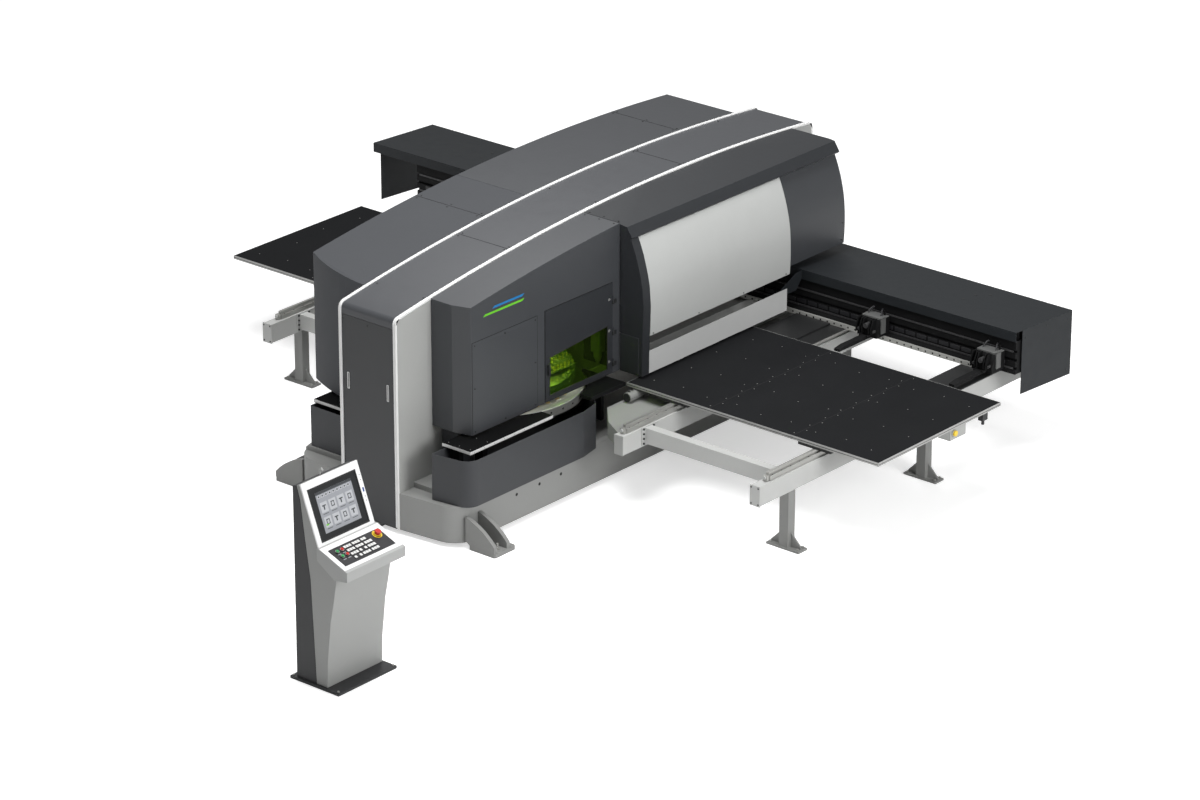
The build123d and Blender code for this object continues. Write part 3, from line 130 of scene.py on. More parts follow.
class Graph:
    """Node tree of one material."""

    def __init__(self, name: str) -> None:
        """Starts an empty material."""
        self.material = bpy.data.materials.new(name)
        self.material.use_nodes = True
        self.tree = self.material.node_tree
        self.tree.nodes.clear()

    def node(self, kind: str, settings: Optional[dict] = None, values: Optional[dict] = None,
             output: Union[int, str] = 0) -> Value:
        """Adds one node.

        Args:
            kind: Blender's node type.
            settings: properties to set on it.
            values: socket name or index to number, colour or Value.
            output: the socket to hand back.

        Returns:
            The chosen output.
        """
        made = self.tree.nodes.new(kind)
        for key, value in (settings or {}).items():
            setattr(made, key, value)
        for key, value in (values or {}).items():
            if isinstance(value, Value):
                self.tree.links.new(value.socket, made.inputs[key])
            else:
                made.inputs[key].default_value = value
        return Value(self, made.outputs[output] if made.outputs else None)

    def place(self) -> Value:
        """Position on the piece in metres."""
        return self.node("ShaderNodeTexCoord", output="Object")

    def stretched(self, scale: Point) -> Value:
        """Position on the piece with every axis scaled."""
        return self.node("ShaderNodeMapping", {}, {"Vector": self.place(), "Scale": scale})

    def noise(self, scale: float, detail: float = 3.0, where: Optional[Value] = None) -> Value:
        """Soft noise between 0 and 1."""
        return self.node("ShaderNodeTexNoise", {}, {
            "Vector": where or self.place(), "Scale": scale, "Detail": detail})

    def axis(self, index: int) -> Value:
        """One coordinate of the position: 0, 1 or 2."""
        return self.node("ShaderNodeSeparateXYZ", {}, {0: self.place()}, index)

    def tint(self, dark: Point, light: Point, share: Value) -> Value:
        """Colour between two, by a share of 0 to 1."""
        return self.node("ShaderNodeMix", {"data_type": "RGBA"}, {
            0: share, 6: (*dark, 1.0), 7: (*light, 1.0)}, 2)

    def bump(self, height: Value, strength: float, distance: float) -> Value:
        """Normal from a height."""
        return self.node("ShaderNodeBump", {}, {
            "Height": height, "Strength": strength, "Distance": distance})

    def surface(self, values: dict) -> bpy.types.Material:
        """Closes the tree with one principled surface."""
        shader = self.node("ShaderNodeBsdfPrincipled", {}, values)
        self.node("ShaderNodeOutputMaterial", {}, {"Surface": shader})
        return self.material


def scaled(colour: Point, factor: float) -> tuple:
    """Colour times a factor, kept below 1."""
    return tuple(min(1.0, c * factor) for c in colour)


@dataclass(frozen=True)
class Paint:
    """Powder-coated sheet metal with a fine peel and faint wear in its sheen."""

    name: str
    colour: Point
    rough: float = 0.42
    coat: float = 0.0
    peel: float = 0.25
    uneven: float = 0.06
    shine: float = 0.5

    def make(self) -> bpy.types.Material:
        """Builds the material's nodes."""
        g = Graph(self.name)
        broad = g.noise(1.7, 4.0)
        fine = g.noise(420.0, 2.0)
        cloud = g.noise(9.0, 5.0)
        shade = broad * 0.6 + cloud * 0.4
        return g.surface({
            "Base Color": g.tint(scaled(self.colour, 1 - self.uneven), scaled(self.colour, 1 + self.uneven), shade),
            "Roughness": cloud.span(self.rough - 0.05, self.rough + 0.07),
            "Specular IOR Level": self.shine,
            "Coat Weight": self.coat,
            "Coat Roughness": 0.2,
            "Normal": g.bump(fine, self.peel, 0.0004),
        })


@dataclass(frozen=True)
class Brushed:
    """Ground or drawn metal with lines along one axis."""

    name: str
    colour: Point
    rough: float = 0.33
    along: int = 1
    metallic: float = 0.9

    def make(self) -> bpy.types.Material:
        """Builds the material's nodes."""
        g = Graph(self.name)
        scale = [260.0, 260.0, 260.0]
        scale[self.along] = 4.0
        lines = g.noise(1.0, 4.0, g.stretched(scale))
        cloud = g.noise(6.0, 4.0)
        return g.surface({
            "Base Color": g.tint(scaled(self.colour, 0.82), scaled(self.colour, 1.1), lines * 0.6 + cloud * 0.4),
            "Metallic": self.metallic,
            "Roughness": lines.span(self.rough - 0.08, self.rough + 0.12),
            "Normal": g.bump(lines, 0.25, 0.0006),
        })


@dataclass(frozen=True)
class Turned:
    """Turned metal with rings round a vertical axis."""

    name: str
    colour: Point
    centre: Point
    rough: float = 0.34

    def make(self) -> bpy.types.Material:
        """Builds the material's nodes."""
        g = Graph(self.name)
        x = g.axis(0) - self.centre[0]
        y = g.axis(1) - self.centre[1]
        radius = (x * x + y * y).root()
        rings = (radius * 900.0).wave() * 0.5 + 0.5
        cloud = g.noise(5.0, 4.0)
        return g.surface({
            "Base Color": g.tint(scaled(self.colour, 0.85), scaled(self.colour, 1.08), rings * 0.4 + cloud * 0.6),
            "Metallic": 0.75,
            "Roughness": rings.span(self.rough - 0.05, self.rough + 0.1),
            "Normal": g.bump(rings, 0.15, 0.0004),
        })


@dataclass(frozen=True)
class Bristles:
    """Dense short brush in tufts set in rows."""

    name: str
    colour: Point
    pitch: float = 0.011

    def make(self) -> bpy.types.Material:
        """Builds the material's nodes."""
        g = Graph(self.name)
        rows = (g.axis(0) * (math.tau / self.pitch)).wave()
        files = (g.axis(1) * (math.tau / self.pitch)).wave()
        tuft = rows * files * 0.5 + 0.5
        fuzz = g.noise(700.0, 3.0)
        cloud = g.noise(2.2, 5.0)
        tone = tuft * 0.35 + fuzz * 0.3 + cloud * 0.35
        return g.surface({
            "Base Color": g.tint(scaled(self.colour, 0.6), scaled(self.colour, 1.45), tone),
            "Roughness": fuzz.span(0.72, 0.95),
            "Specular IOR Level": 0.08,
            "Normal": g.bump(tuft * 0.6 + fuzz * 0.4, 0.5, 0.002),
        })


@dataclass(frozen=True)
class Plastic:
    """Moulded plastic with a faint grain."""

    name: str
    colour: Point
    rough: float = 0.4
    glow: float = 0.0

    def make(self) -> bpy.types.Material:
        """Builds the material's nodes."""
        g = Graph(self.name)
        grain = g.noise(900.0, 2.0)
        cloud = g.noise(30.0, 3.0)
        return g.surface({
            "Base Color": g.tint(scaled(self.colour, 0.93), scaled(self.colour, 1.07), cloud),
            "Roughness": cloud.span(self.rough - 0.04, self.rough + 0.06),
            "Emission Color": (*self.colour, 1.0),
            "Emission Strength": self.glow,
            "Normal": g.bump(grain, 0.12, 0.0003),
        })


@dataclass(frozen=True)
class TintedGlass:
    """Laser-safe glazing that lets the inside show dimly."""

    name: str
    colour: Point
    clear: float = 0.6

    def make(self) -> bpy.types.Material:
        """Builds the material's nodes."""
        g = Graph(self.name)
        smear = g.noise(7.0, 4.0)
        shine = g.node("ShaderNodeBsdfPrincipled", {}, {
            "Base Color": (*scaled(self.colour, 0.08), 1.0),
            "Roughness": smear.span(0.05, 0.12),
            "Specular IOR Level": 0.4,
        })
        through = g.node("ShaderNodeBsdfTransparent", {}, {"Color": (*self.colour, 1.0)})
        mixed = g.node("ShaderNodeMixShader", {}, {0: smear.span(self.clear, self.clear + 0.06), 1: shine, 2: through})
        g.node("ShaderNodeOutputMaterial", {}, {"Surface": mixed})
        return g.material


DARK = Paint("dark_paint", (0.047, 0.05, 0.055), rough=0.35)
# Painted light: the housings' one anthracite paint, made lighter for the spine roof, which faces the strong top light.
DARK_ROOF_LIT = Paint("dark_paint_lit_roof", (0.058, 0.061, 0.067), rough=0.33)
# Painted shade: the same anthracite, made darker for the upright front panel, which gets less light than the roofs.
DARK_FRONT_SHADED = Paint("dark_paint_shaded_front", (0.027, 0.0285, 0.031), rough=0.38)
# Painted shade: the same anthracite, made darker for the rear housing, its front block plate and the left louvres.
DARK_REAR_SHADED = Paint("dark_paint_shaded_rear", (0.024, 0.026, 0.029), rough=0.4, shine=0.4)
# Painted shade: the same anthracite, made darker on the door to stand for the darker reflection across that side.
DARK_DOOR_SHADED = Paint("dark_paint_shaded_door", (0.027, 0.029, 0.033), rough=0.38, shine=0.36)
# Painted light: the same anthracite, made lighter on the left front housing, which the lamps barely reach.
DARK_LEFT_LIT = Paint("dark_paint_lit_left", (0.07, 0.073, 0.079), rough=0.5, shine=0.08)
# Painted shade: the same anthracite, made darker on the travelling cover and its lip.
DARK_COVER_SHADED = Paint("dark_paint_shaded_cover", (0.015, 0.0175, 0.02), rough=0.5, shine=0.28)
PITCH = Paint("beam_black", (0.006, 0.0062, 0.0065), rough=0.6, shine=0.15)
# Painted light: a grey in place of the clamps' black, standing for light on the clamp tops; the side brackets share
# it.
LIT_CAP = Paint("clamp_cap_lit_paint", (0.11, 0.112, 0.11), rough=0.45)
POST = Paint("console_paint", (0.3, 0.305, 0.297), rough=0.45)
DARK_SHELL = Paint("dark_shell_paint", (0.03, 0.031, 0.033), rough=0.42, shine=0.4)
TRAY = Paint("tray_paint", (0.04, 0.042, 0.046), rough=0.5, shine=0.4)
LIGHT = Paint("light_paint", (0.36, 0.365, 0.355), rough=0.45)
CAST = Paint("casting_paint", (0.25, 0.253, 0.246), rough=0.5)
BEAM = Paint("beam_paint", (0.44, 0.445, 0.435), rough=0.45)
LEG = Paint("leg_paint", (0.22, 0.222, 0.215), rough=0.5)
PALE = Paint("pale_panel_paint", (0.45, 0.46, 0.45), rough=0.4)
GUARD = Paint("guard_paint", (0.5, 0.505, 0.5), rough=0.4)
DESK = Paint("desk_paint", (0.36, 0.365, 0.36), rough=0.4)
# Painted shade: machined steel made very dark for the guides under the cover and the clamp cylinders.
SHADED_STEEL = Brushed("shaded_guide_steel", (0.07, 0.07, 0.072), rough=0.45, along=0, metallic=0.5)
STRIP = Paint("strip_paint", (0.74, 0.74, 0.73), rough=0.4, peel=0.1)
WHITE = Paint("white_paint", (0.8, 0.8, 0.8), rough=0.4, peel=0.1)
BLACK = Paint("black_steel", (0.012, 0.0125, 0.013), rough=0.5, peel=0.4)
BRUSH = Bristles("brush_top", (0.011, 0.0115, 0.0125))
# Painted shade: the same brush made much darker for the fixed tables, which lie in shade under the housings.
BRUSH_SHADED = Bristles("brush_shaded", (0.004, 0.0042, 0.0045))
ALU = Brushed("edge_aluminium", (0.45, 0.45, 0.44), rough=0.42, along=0, metallic=0.55)
STEEL = Brushed("machined_steel", (0.45, 0.45, 0.43), rough=0.35, along=1, metallic=0.7)
RAIL = Brushed("clamp_rail_steel", (0.6, 0.6, 0.57), rough=0.35, along=0, metallic=0.5)
TURRET = Turned("turret_steel", (0.5, 0.5, 0.48), (0.0, 1.6))
BRASS = Turned("tool_brass", (0.72, 0.55, 0.2), (0.0, 1.6))
GREEN_GLASS = TintedGlass("green_glass", (0.46, 0.66, 0.17), clear=0.86)
PLASTIC = Plastic("black_plastic", (0.014, 0.014, 0.016))
RED = Plastic("red_plastic", (0.5, 0.025, 0.02), rough=0.3)
GREEN = Plastic("green_plastic", (0.03, 0.3, 0.08), rough=0.3)
YELLOW = Plastic("yellow_plastic", (0.8, 0.55, 0.03), rough=0.35)
KEY_WHITE = Plastic("key_white", (0.66, 0.66, 0.65), rough=0.4)
SCREEN = Plastic("screen_glass", (0.008, 0.009, 0.01), rough=0.3)
GAP = Plastic("shadow_gap", (0.006, 0.006, 0.007), rough=0.8)
TOOL = Turned("tool_steel", (0.42, 0.42, 0.38), (0.0, 1.6))
LAMP = Plastic("lamp_white", (1.0, 0.98, 0.85), rough=0.4, glow=75.0)
BLUE = Paint("stripe_blue_paint", (0.01, 0.17, 0.42), rough=0.4)
LIME = Paint("stripe_green_paint", (0.13, 0.5, 0.02), rough=0.4)
BLUE_DARK = Plastic("port_blue", (0.02, 0.06, 0.25), rough=0.4)
UI_GREY = Plastic("interface_grey", (0.25, 0.26, 0.28), rough=0.3, glow=0.15)
UI_WHITE = Plastic("interface_white", (0.4, 0.41, 0.43), rough=0.3, glow=0.12)
UI_DARK = Plastic("interface_dark", (0.05, 0.055, 0.06), rough=0.3)
Finish = Union[Paint, Brushed, Turned, Bristles, Plastic, TintedGlass]
MATERIALS: dict = {}


def finish_of(look: "Finish") -> bpy.types.Material:
    """Material of a finish, made once."""
    if look.name not in MATERIALS:
        MATERIALS[look.name] = look.make()
    return MATERIALS[look.name]


# ---------------------------------------------------------------- shapes
class Shape:
    """Gathers boxes, rods and prisms into one mesh piece."""

    def __init__(self, name: str, look: Finish, body: Body, slot: str) -> None:
        """Starts an empty mesh with its finish, body and slot."""
        self.name, self.look, self.body, self.slot = name, look, body, slot
        self.mesh = bmesh.new()

    def box(self, low: Point, high: Point, turn: Optional[Matrix] = None) -> "Shape":
        """Box between two corners, optionally turned about its centre.

        Args:
            low: one corner in millimetres.
            high: the opposite corner.
            turn: rotation of the box.

        Returns:
            This shape.
        """
        mid = Vector([(a + b) / 2 * MM for a, b in zip(low, high)])
        size = [abs(b - a) * MM for a, b in zip(low, high)]
        spin = turn.to_4x4() if turn else Matrix.Identity(4)
        bmesh.ops.create_cube(self.mesh, size=1.0,
                              matrix=Matrix.Translation(mid) @ spin @ Matrix.Diagonal((*size, 1.0)))
        return self

    def rod(self, start: Point, end: Point, radius: float, radius_end: Optional[float] = None,
            sides: int = 24) -> "Shape":
        """Cylinder or cone between two points.

        Args:
            start: middle of one end in millimetres.
            end: middle of the other end.
            radius: radius at the start.
            radius_end: radius at the end, where it differs.
            sides: faces round it.

        Returns:
            This shape.
        """
        a, b = Vector(start) * MM, Vector(end) * MM
        run = b - a
        turn = run.to_track_quat("Z", "Y").to_matrix().to_4x4()
        top = radius if radius_end is None else radius_end
        bmesh.ops.create_cone(self.mesh, cap_ends=True, segments=sides, radius1=radius * MM,
                              radius2=top * MM, depth=run.length,
                              matrix=Matrix.Translation((a + b) / 2) @ turn)
        return self

    def ring(self, centre: Point, axis: Point, outer: float, inner: float, height: float,
             sides: int = 32) -> "Shape":
        """Flat ring.

        Args:
            centre: middle of its foot in millimetres.
            axis: direction in which it stands.
            outer: outer radius.
            inner: inner radius.
            height: height along the axis.
            sides: faces round it.

        Returns:
            This shape.
        """
        turn = Vector(axis).to_track_quat("Z", "Y").to_matrix().to_4x4()
        spot = Matrix.Translation(Vector(centre) * MM) @ turn
        loops = []
        for radius, z in ((outer, 0.0), (outer, height), (inner, height), (inner, 0.0)):
            loops.append([self.mesh.verts.new(spot @ Vector((
                radius * MM * math.cos(math.tau * i / sides), radius * MM * math.sin(math.tau * i / sides), z * MM)))
                for i in range(sides)])
        for k in range(4):
            one, two = loops[k], loops[(k + 1) % 4]
            for i in range(sides):
                j = (i + 1) % sides
                self.mesh.faces.new((one[i], one[j], two[j], two[i]))
        return self

    def prism(self, outline: Sequence[Point], plane: str, start: float, end: float) -> "Shape":
        """Outline pushed along the axis that its plane leaves out.

        Args:
            outline: corners in millimetres.
            plane: "yz", "xz" or "xy".
            start: where the push starts.
            end: where it ends.

        Returns:
            This shape.
        """
        order = {"yz": lambda p, d: (d, p[0], p[1]), "xz": lambda p, d: (p[0], d, p[1]),
                 "xy": lambda p, d: (p[0], p[1], d)}[plane]
        low = [self.mesh.verts.new(Vector(order(p, start)) * MM) for p in outline]
        high = [self.mesh.verts.new(Vector(order(p, end)) * MM) for p in outline]
        self.mesh.faces.new(low)
        self.mesh.faces.new(high)
        for i in range(len(outline)):
            j = (i + 1) % len(outline)
            self.mesh.faces.new((low[i], low[j], high[j], high[i]))
        return self

    def slab(self, seat: "Seat", low: Point, high: Point) -> "Shape":
        """Box along a seat's own axes.

        Args:
            seat: the tilted plane.
            low: one corner in millimetres.
            high: the opposite corner.

        Returns:
            This shape.
        """
        size = [abs(b - a) * MM for a, b in zip(low, high)]
        mid = Vector([(a + b) / 2 * MM for a, b in zip(low, high)])
        bmesh.ops.create_cube(self.mesh, size=1.0,
                              matrix=seat.matrix() @ Matrix.Translation(mid) @ Matrix.Diagonal((*size, 1.0)))
        return self

    def tube(self, path: Sequence[Point], radius: float, sides: int = 10) -> "Shape":
        """Round bar along a path.

        Args:
            path: points in millimetres.
            radius: radius of the bar.
            sides: faces round it.

        Returns:
            This shape.
        """
        for a, b in zip(path, path[1:]):
            self.rod(a, b, radius, sides=sides)
        for p in path[1:-1]:
            bmesh.ops.create_uvsphere(self.mesh, u_segments=sides, v_segments=6, radius=radius * MM,
                                      matrix=Matrix.Translation(Vector(p) * MM))
        return self

    def finish(self, bevel: float = 0.0, steps: int = 2) -> bpy.types.Object:
        """Makes the object, gives it its look and lets it ride.

        Args:
            bevel: edge rounding in millimetres.
            steps: segments of that rounding.

        Returns:
            The finished piece.
        """
        bmesh.ops.recalc_face_normals(self.mesh, faces=self.mesh.faces[:])
        data = bpy.data.meshes.new(self.name)
        self.mesh.to_mesh(data)
        self.mesh.free()
        piece = bpy.data.objects.new(self.name, data)
        bpy.context.collection.objects.link(piece)
        return settle(piece, self.look, self.body, bevel, steps)


@dataclass(frozen=True)
class Seat:
    """Tilted plane of the console: across along Y, down its slope, and out of it."""

    origin: Point
    slope: float

    def matrix(self) -> Matrix:
        """Frame with x across, y down the slope and z out of the plane."""
        a = math.radians(self.slope)
        across = Vector((0.0, 1.0, 0.0))
        down = Vector((math.cos(a), 0.0, -math.sin(a)))
        out = Vector((math.sin(a), 0.0, math.cos(a)))
        turn = Matrix((across, down, out)).transposed().to_4x4()
        return Matrix.Translation(Vector(self.origin) * MM) @ turn

    def at(self, across: float, down: float, out: float) -> tuple:
        """World point in millimetres."""
        return tuple(self.matrix() @ (Vector((across, down, out)) * MM) / MM)

    def out(self) -> tuple:
        """Direction out of the plane."""
        a = math.radians(self.slope)
        return (math.sin(a), 0.0, math.cos(a))


def settle(piece: bpy.types.Object, look: Finish, body: Body, bevel: float,
           steps: int = 2) -> bpy.types.Object:
    """Gives a piece its look, rounded edges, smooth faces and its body.

    Args:
        piece: the object.
        look: its finish.
        body: body it rides on.
        bevel: edge rounding in millimetres.
        steps: segments of that rounding.

    Returns:
        The same object.
    """
    piece.data.materials.clear()
    piece.data.materials.append(finish_of(look))
    for face in piece.data.polygons:
        face.use_smooth = True
    piece.data.set_sharp_from_angle(angle=math.radians(32))
    if bevel > 0:
        rounding = piece.modifiers.new("edges", "BEVEL")
        rounding.width = bevel * MM
        rounding.segments = steps
        rounding.limit_method = "ANGLE"
        rounding.angle_limit = math.radians(32)
        rounding.harden_normals = True
        rounding.use_clamp_overlap = True
    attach(piece, body.value)
    return piece


def refined(node: str, look: Finish, body: Body, bevel: float, steps: int = 2) -> bpy.types.Object:
    """Copy of a CAD node with welded faces and rounded edges, shown in its place.

    Args:
        node: CAD node.
        look: finish of the copy.
        body: body it rides on.
        bevel: edge rounding in millimetres.
        steps: segments of that rounding.

    Returns:
        The copy.
    """
    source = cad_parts[node]
    work = bmesh.new()
    work.from_mesh(source.data)
    work.transform(source.matrix_world)
    bmesh.ops.remove_doubles(work, verts=work.verts[:], dist=0.00002)
    bmesh.ops.dissolve_limit(work, angle_limit=math.radians(0.25), verts=work.verts[:], edges=work.edges[:])
    data = bpy.data.meshes.new(node + "_shape")
    work.to_mesh(data)
    work.free()
    piece = bpy.data.objects.new(node + "_shape", data)
    bpy.context.collection.objects.link(piece)
    settle(piece, look, body, bevel, steps)
    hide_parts(node)
    return piece


@dataclass(frozen=True)
class Refit:
    """One CAD node that is shown with rounded edges."""

    node: str
    look: Finish
    slot: str
    bevel: float
    body: Body = Body.FRAME
    steps: int = 2


REFITS = (
    Refit("base_frame", CAST, "light_paint", 6.0),
    Refit("base_feet", LEG, "light_paint", 4.0),
    Refit("spine_frame", LIGHT, "light_paint", 3.0),
    Refit("edge_strips", STRIP, "white_paint", 6.0),
    # The front panel takes the darker copy of the dark paint: painted shade.
    Refit("front_panel", DARK_FRONT_SHADED, "dark_paint", 2.0),
    # The spine roof takes the lighter copy of the dark paint: painted light.
    Refit("spine_roof", DARK_ROOF_LIT, "dark_paint", 2.0),
    Refit("right_front_housing", DARK, "dark_paint", 5.0),
    Refit("access_panel", DARK, "dark_paint", 1.0),
    # The door takes the darker copy of the dark paint: painted shade.
    Refit("door", DARK_DOOR_SHADED, "dark_paint", 2.0, Body.DOOR),
    # The left front housing takes the lighter copy of the dark paint: painted light.
    Refit("left_front_housing", DARK_LEFT_LIT, "dark_paint", 5.0),
    Refit("right_lower_housing", TRAY, "dark_paint", 2.0),
    Refit("left_lower_housing", TRAY, "dark_paint", 2.0),
    # The rear housing takes the darker copy of the dark paint: painted shade.
    Refit("right_rear_housing", DARK_REAR_SHADED, "dark_paint", 3.0),
    Refit("light_panel", PALE, "light_paint", 3.0),
    Refit("rear_side_panel", DARK, "dark_paint", 2.0),
    Refit("left_rear_housing", DARK, "dark_paint", 5.0),
    Refit("outer_beams", BEAM, "light_paint", 4.0),
    Refit("inner_beams", BEAM, "light_paint", 4.0),
    Refit("cross_beams", BEAM, "light_paint", 4.0),
    Refit("beam_brackets", CAST, "light_paint", 4.0),
    Refit("beam_legs", LEG, "light_paint", 3.0),
    # The cover takes the darker copy of the dark paint: painted shade.
    Refit("carriage_cover", DARK_COVER_SHADED, "dark_paint", 2.0, Body.CARRIAGE),
    Refit("x_beam", PITCH, "black_steel", 1.5, Body.CARRIAGE),
    Refit("clamp_bodies", PITCH, "black_steel", 2.0, Body.CLAMPS),
    Refit("console_shell", DARK_SHELL, "dark_paint", 3.0),
    Refit("console_body", POST, "light_paint", 5.0),
    Refit("console_desk", DESK, "light_paint", 4.0),
    Refit("screen_frame", WHITE, "white_paint", 3.0),
    Refit("upper_turret", TURRET, "turret_steel", 3.0, Body.UPPER_DISC),
    Refit("lower_turret", TURRET, "turret_steel", 3.0, Body.LOWER_DISC),
    Refit("y_motor", LEG, "black_steel", 3.0),
)

PLAIN = {
    # The fixed table tops take the darkened brush: painted shade.
    "fixed_table_tops": BRUSH_SHADED, "moving_table_tops": BRUSH,
    "fixed_table_edges": PITCH, "moving_table_edges": ALU,
    "door_window": GREEN_GLASS, "door_hinges": BLACK, "door_latch": PLASTIC,
    "punch_ram": STEEL, "ram_guide": BLACK, "laser_head": STEEL,
    "y_rails": STEEL, "y_screw": STEEL, "guard_front_leaf": GUARD, "guard_leaf_a": GUARD,
    "guard_leaf_b": GUARD, "guard_rear_leaf": GUARD, "slide_plates": BLACK, "clamp_rail": RAIL,
    "jaw_1": PITCH, "jaw_2": PITCH, "switch_box": LIGHT, "switch_button": YELLOW,
    "keypad": PLASTIC, "start_button": GREEN, "stop_button": RED, "feed_start_button": GREEN,
    "feed_stop_button": RED, "emergency_stop": RED, "screen": SCREEN,
}


# ---------------------------------------------------------------- details
@dataclass(frozen=True)
class RoofLine:
    """Arc of the roofs in millimetres."""

    top: float = 2325.0
    middle: float = 3850.0
    radius: float = 22500.0

    def height(self, y: float) -> float:
        """Height of the roof at a place along the machine."""
        return self.top - self.radius + math.sqrt(self.radius ** 2 - (y - self.middle) ** 2)


@dataclass(frozen=True)
class SpineTrim:
    """White bands along the spine's edges, with seams and handles of its panels."""

    half: float = 335.0
    wide: float = 13.0
    strip: float = 20.0
    front: float = -9.8
    radius: float = 60.0
    handle_z: float = 1295.0
    roof: RoofLine = field(default_factory=RoofLine)

    def build(self) -> None:
        """Adds the bands, seams and handles."""
        centre_y = self.front + self.radius
        turn_end = math.radians(80.0)
        end_y = centre_y - self.radius * math.cos(turn_end)
        centre_z = self.roof.height(end_y) + 9.8 - self.radius * math.sin(turn_end)
        bend = [math.radians(8.0 * i) for i in range(11)]
        outer = [(self.front, 60.0)]
        outer += [(centre_y - self.radius * math.cos(a), centre_z + self.radius * math.sin(a)) for a in bend]
        inner = [(1.0, 60.0)]
        inner += [(centre_y - (self.radius - 10.8) * math.cos(a), centre_z + (self.radius - 10.8) * math.sin(a))
                  for a in bend]
        runs = [end_y + 40.0 + (5690.0 - end_y - 40.0) * i / 60 for i in range(61)]
        outer += [(y, self.roof.height(y) + 9.8) for y in runs]
        inner += [(y, self.roof.height(y) - 1.0) for y in runs]
        for side in (-1.0, 1.0):
            x0 = side * (self.half - self.strip)
            x1 = side * (self.half - self.strip - self.wide)
            Shape(f"spine_band_{'left' if side < 0 else 'right'}", WHITE, Body.FRAME, "white_paint") \
                .prism(outer + inner[::-1], "yz", min(x0, x1), max(x0, x1)).finish(2.0)
        seams = Shape("spine_seams", GAP, Body.FRAME, "black_plastic")
        for y in (1500.0, 3900.0):
            z = self.roof.height(y)
            seams.box((-290.0, y - 3.0, z - 2.0), (290.0, y + 3.0, z + 0.9))
        for x in (-236.0, 226.0):
            seams.box((x - 9.0, 3.0, self.handle_z - 70.0), (x + 9.0, 6.0, self.handle_z + 70.0))
        seams.finish()
        grips = Shape("panel_grips", WHITE, Body.FRAME, "white_paint")
        for x in (-236.0, 226.0):
            grips.box((x - 11.0, -3.0, self.handle_z - 76.0), (x - 6.0, 3.0, self.handle_z + 76.0))
            grips.box((x + 6.0, -3.0, self.handle_z - 76.0), (x + 11.0, 3.0, self.handle_z + 76.0))
            for z in (self.handle_z - 76.0, self.handle_z + 71.0):
                grips.box((x - 11.0, -3.0, z), (x + 11.0, 3.0, z + 5.0))
        grips.finish(0.8)
        screws = Shape("panel_screws", BLACK, Body.FRAME, "black_steel")
        for x in (-290.0, 0.0, 290.0):
            for z in (120.0, 700.0, 1290.0, 1860.0):
                if x or z in (120.0, 1860.0):
                    screws.rod((x, 2.0, z), (x, -2.5, z), 8.0, sides=12)
        for y in (420.0, 1470.0, 1530.0, 2700.0, 3870.0, 3930.0, 5100.0):
            for x in (-270.0, 270.0):
                z = self.roof.height(y)
                screws.rod((x, y, z - 2.0), (x, y, z + 2.5), 8.0, sides=12)
        screws.finish()


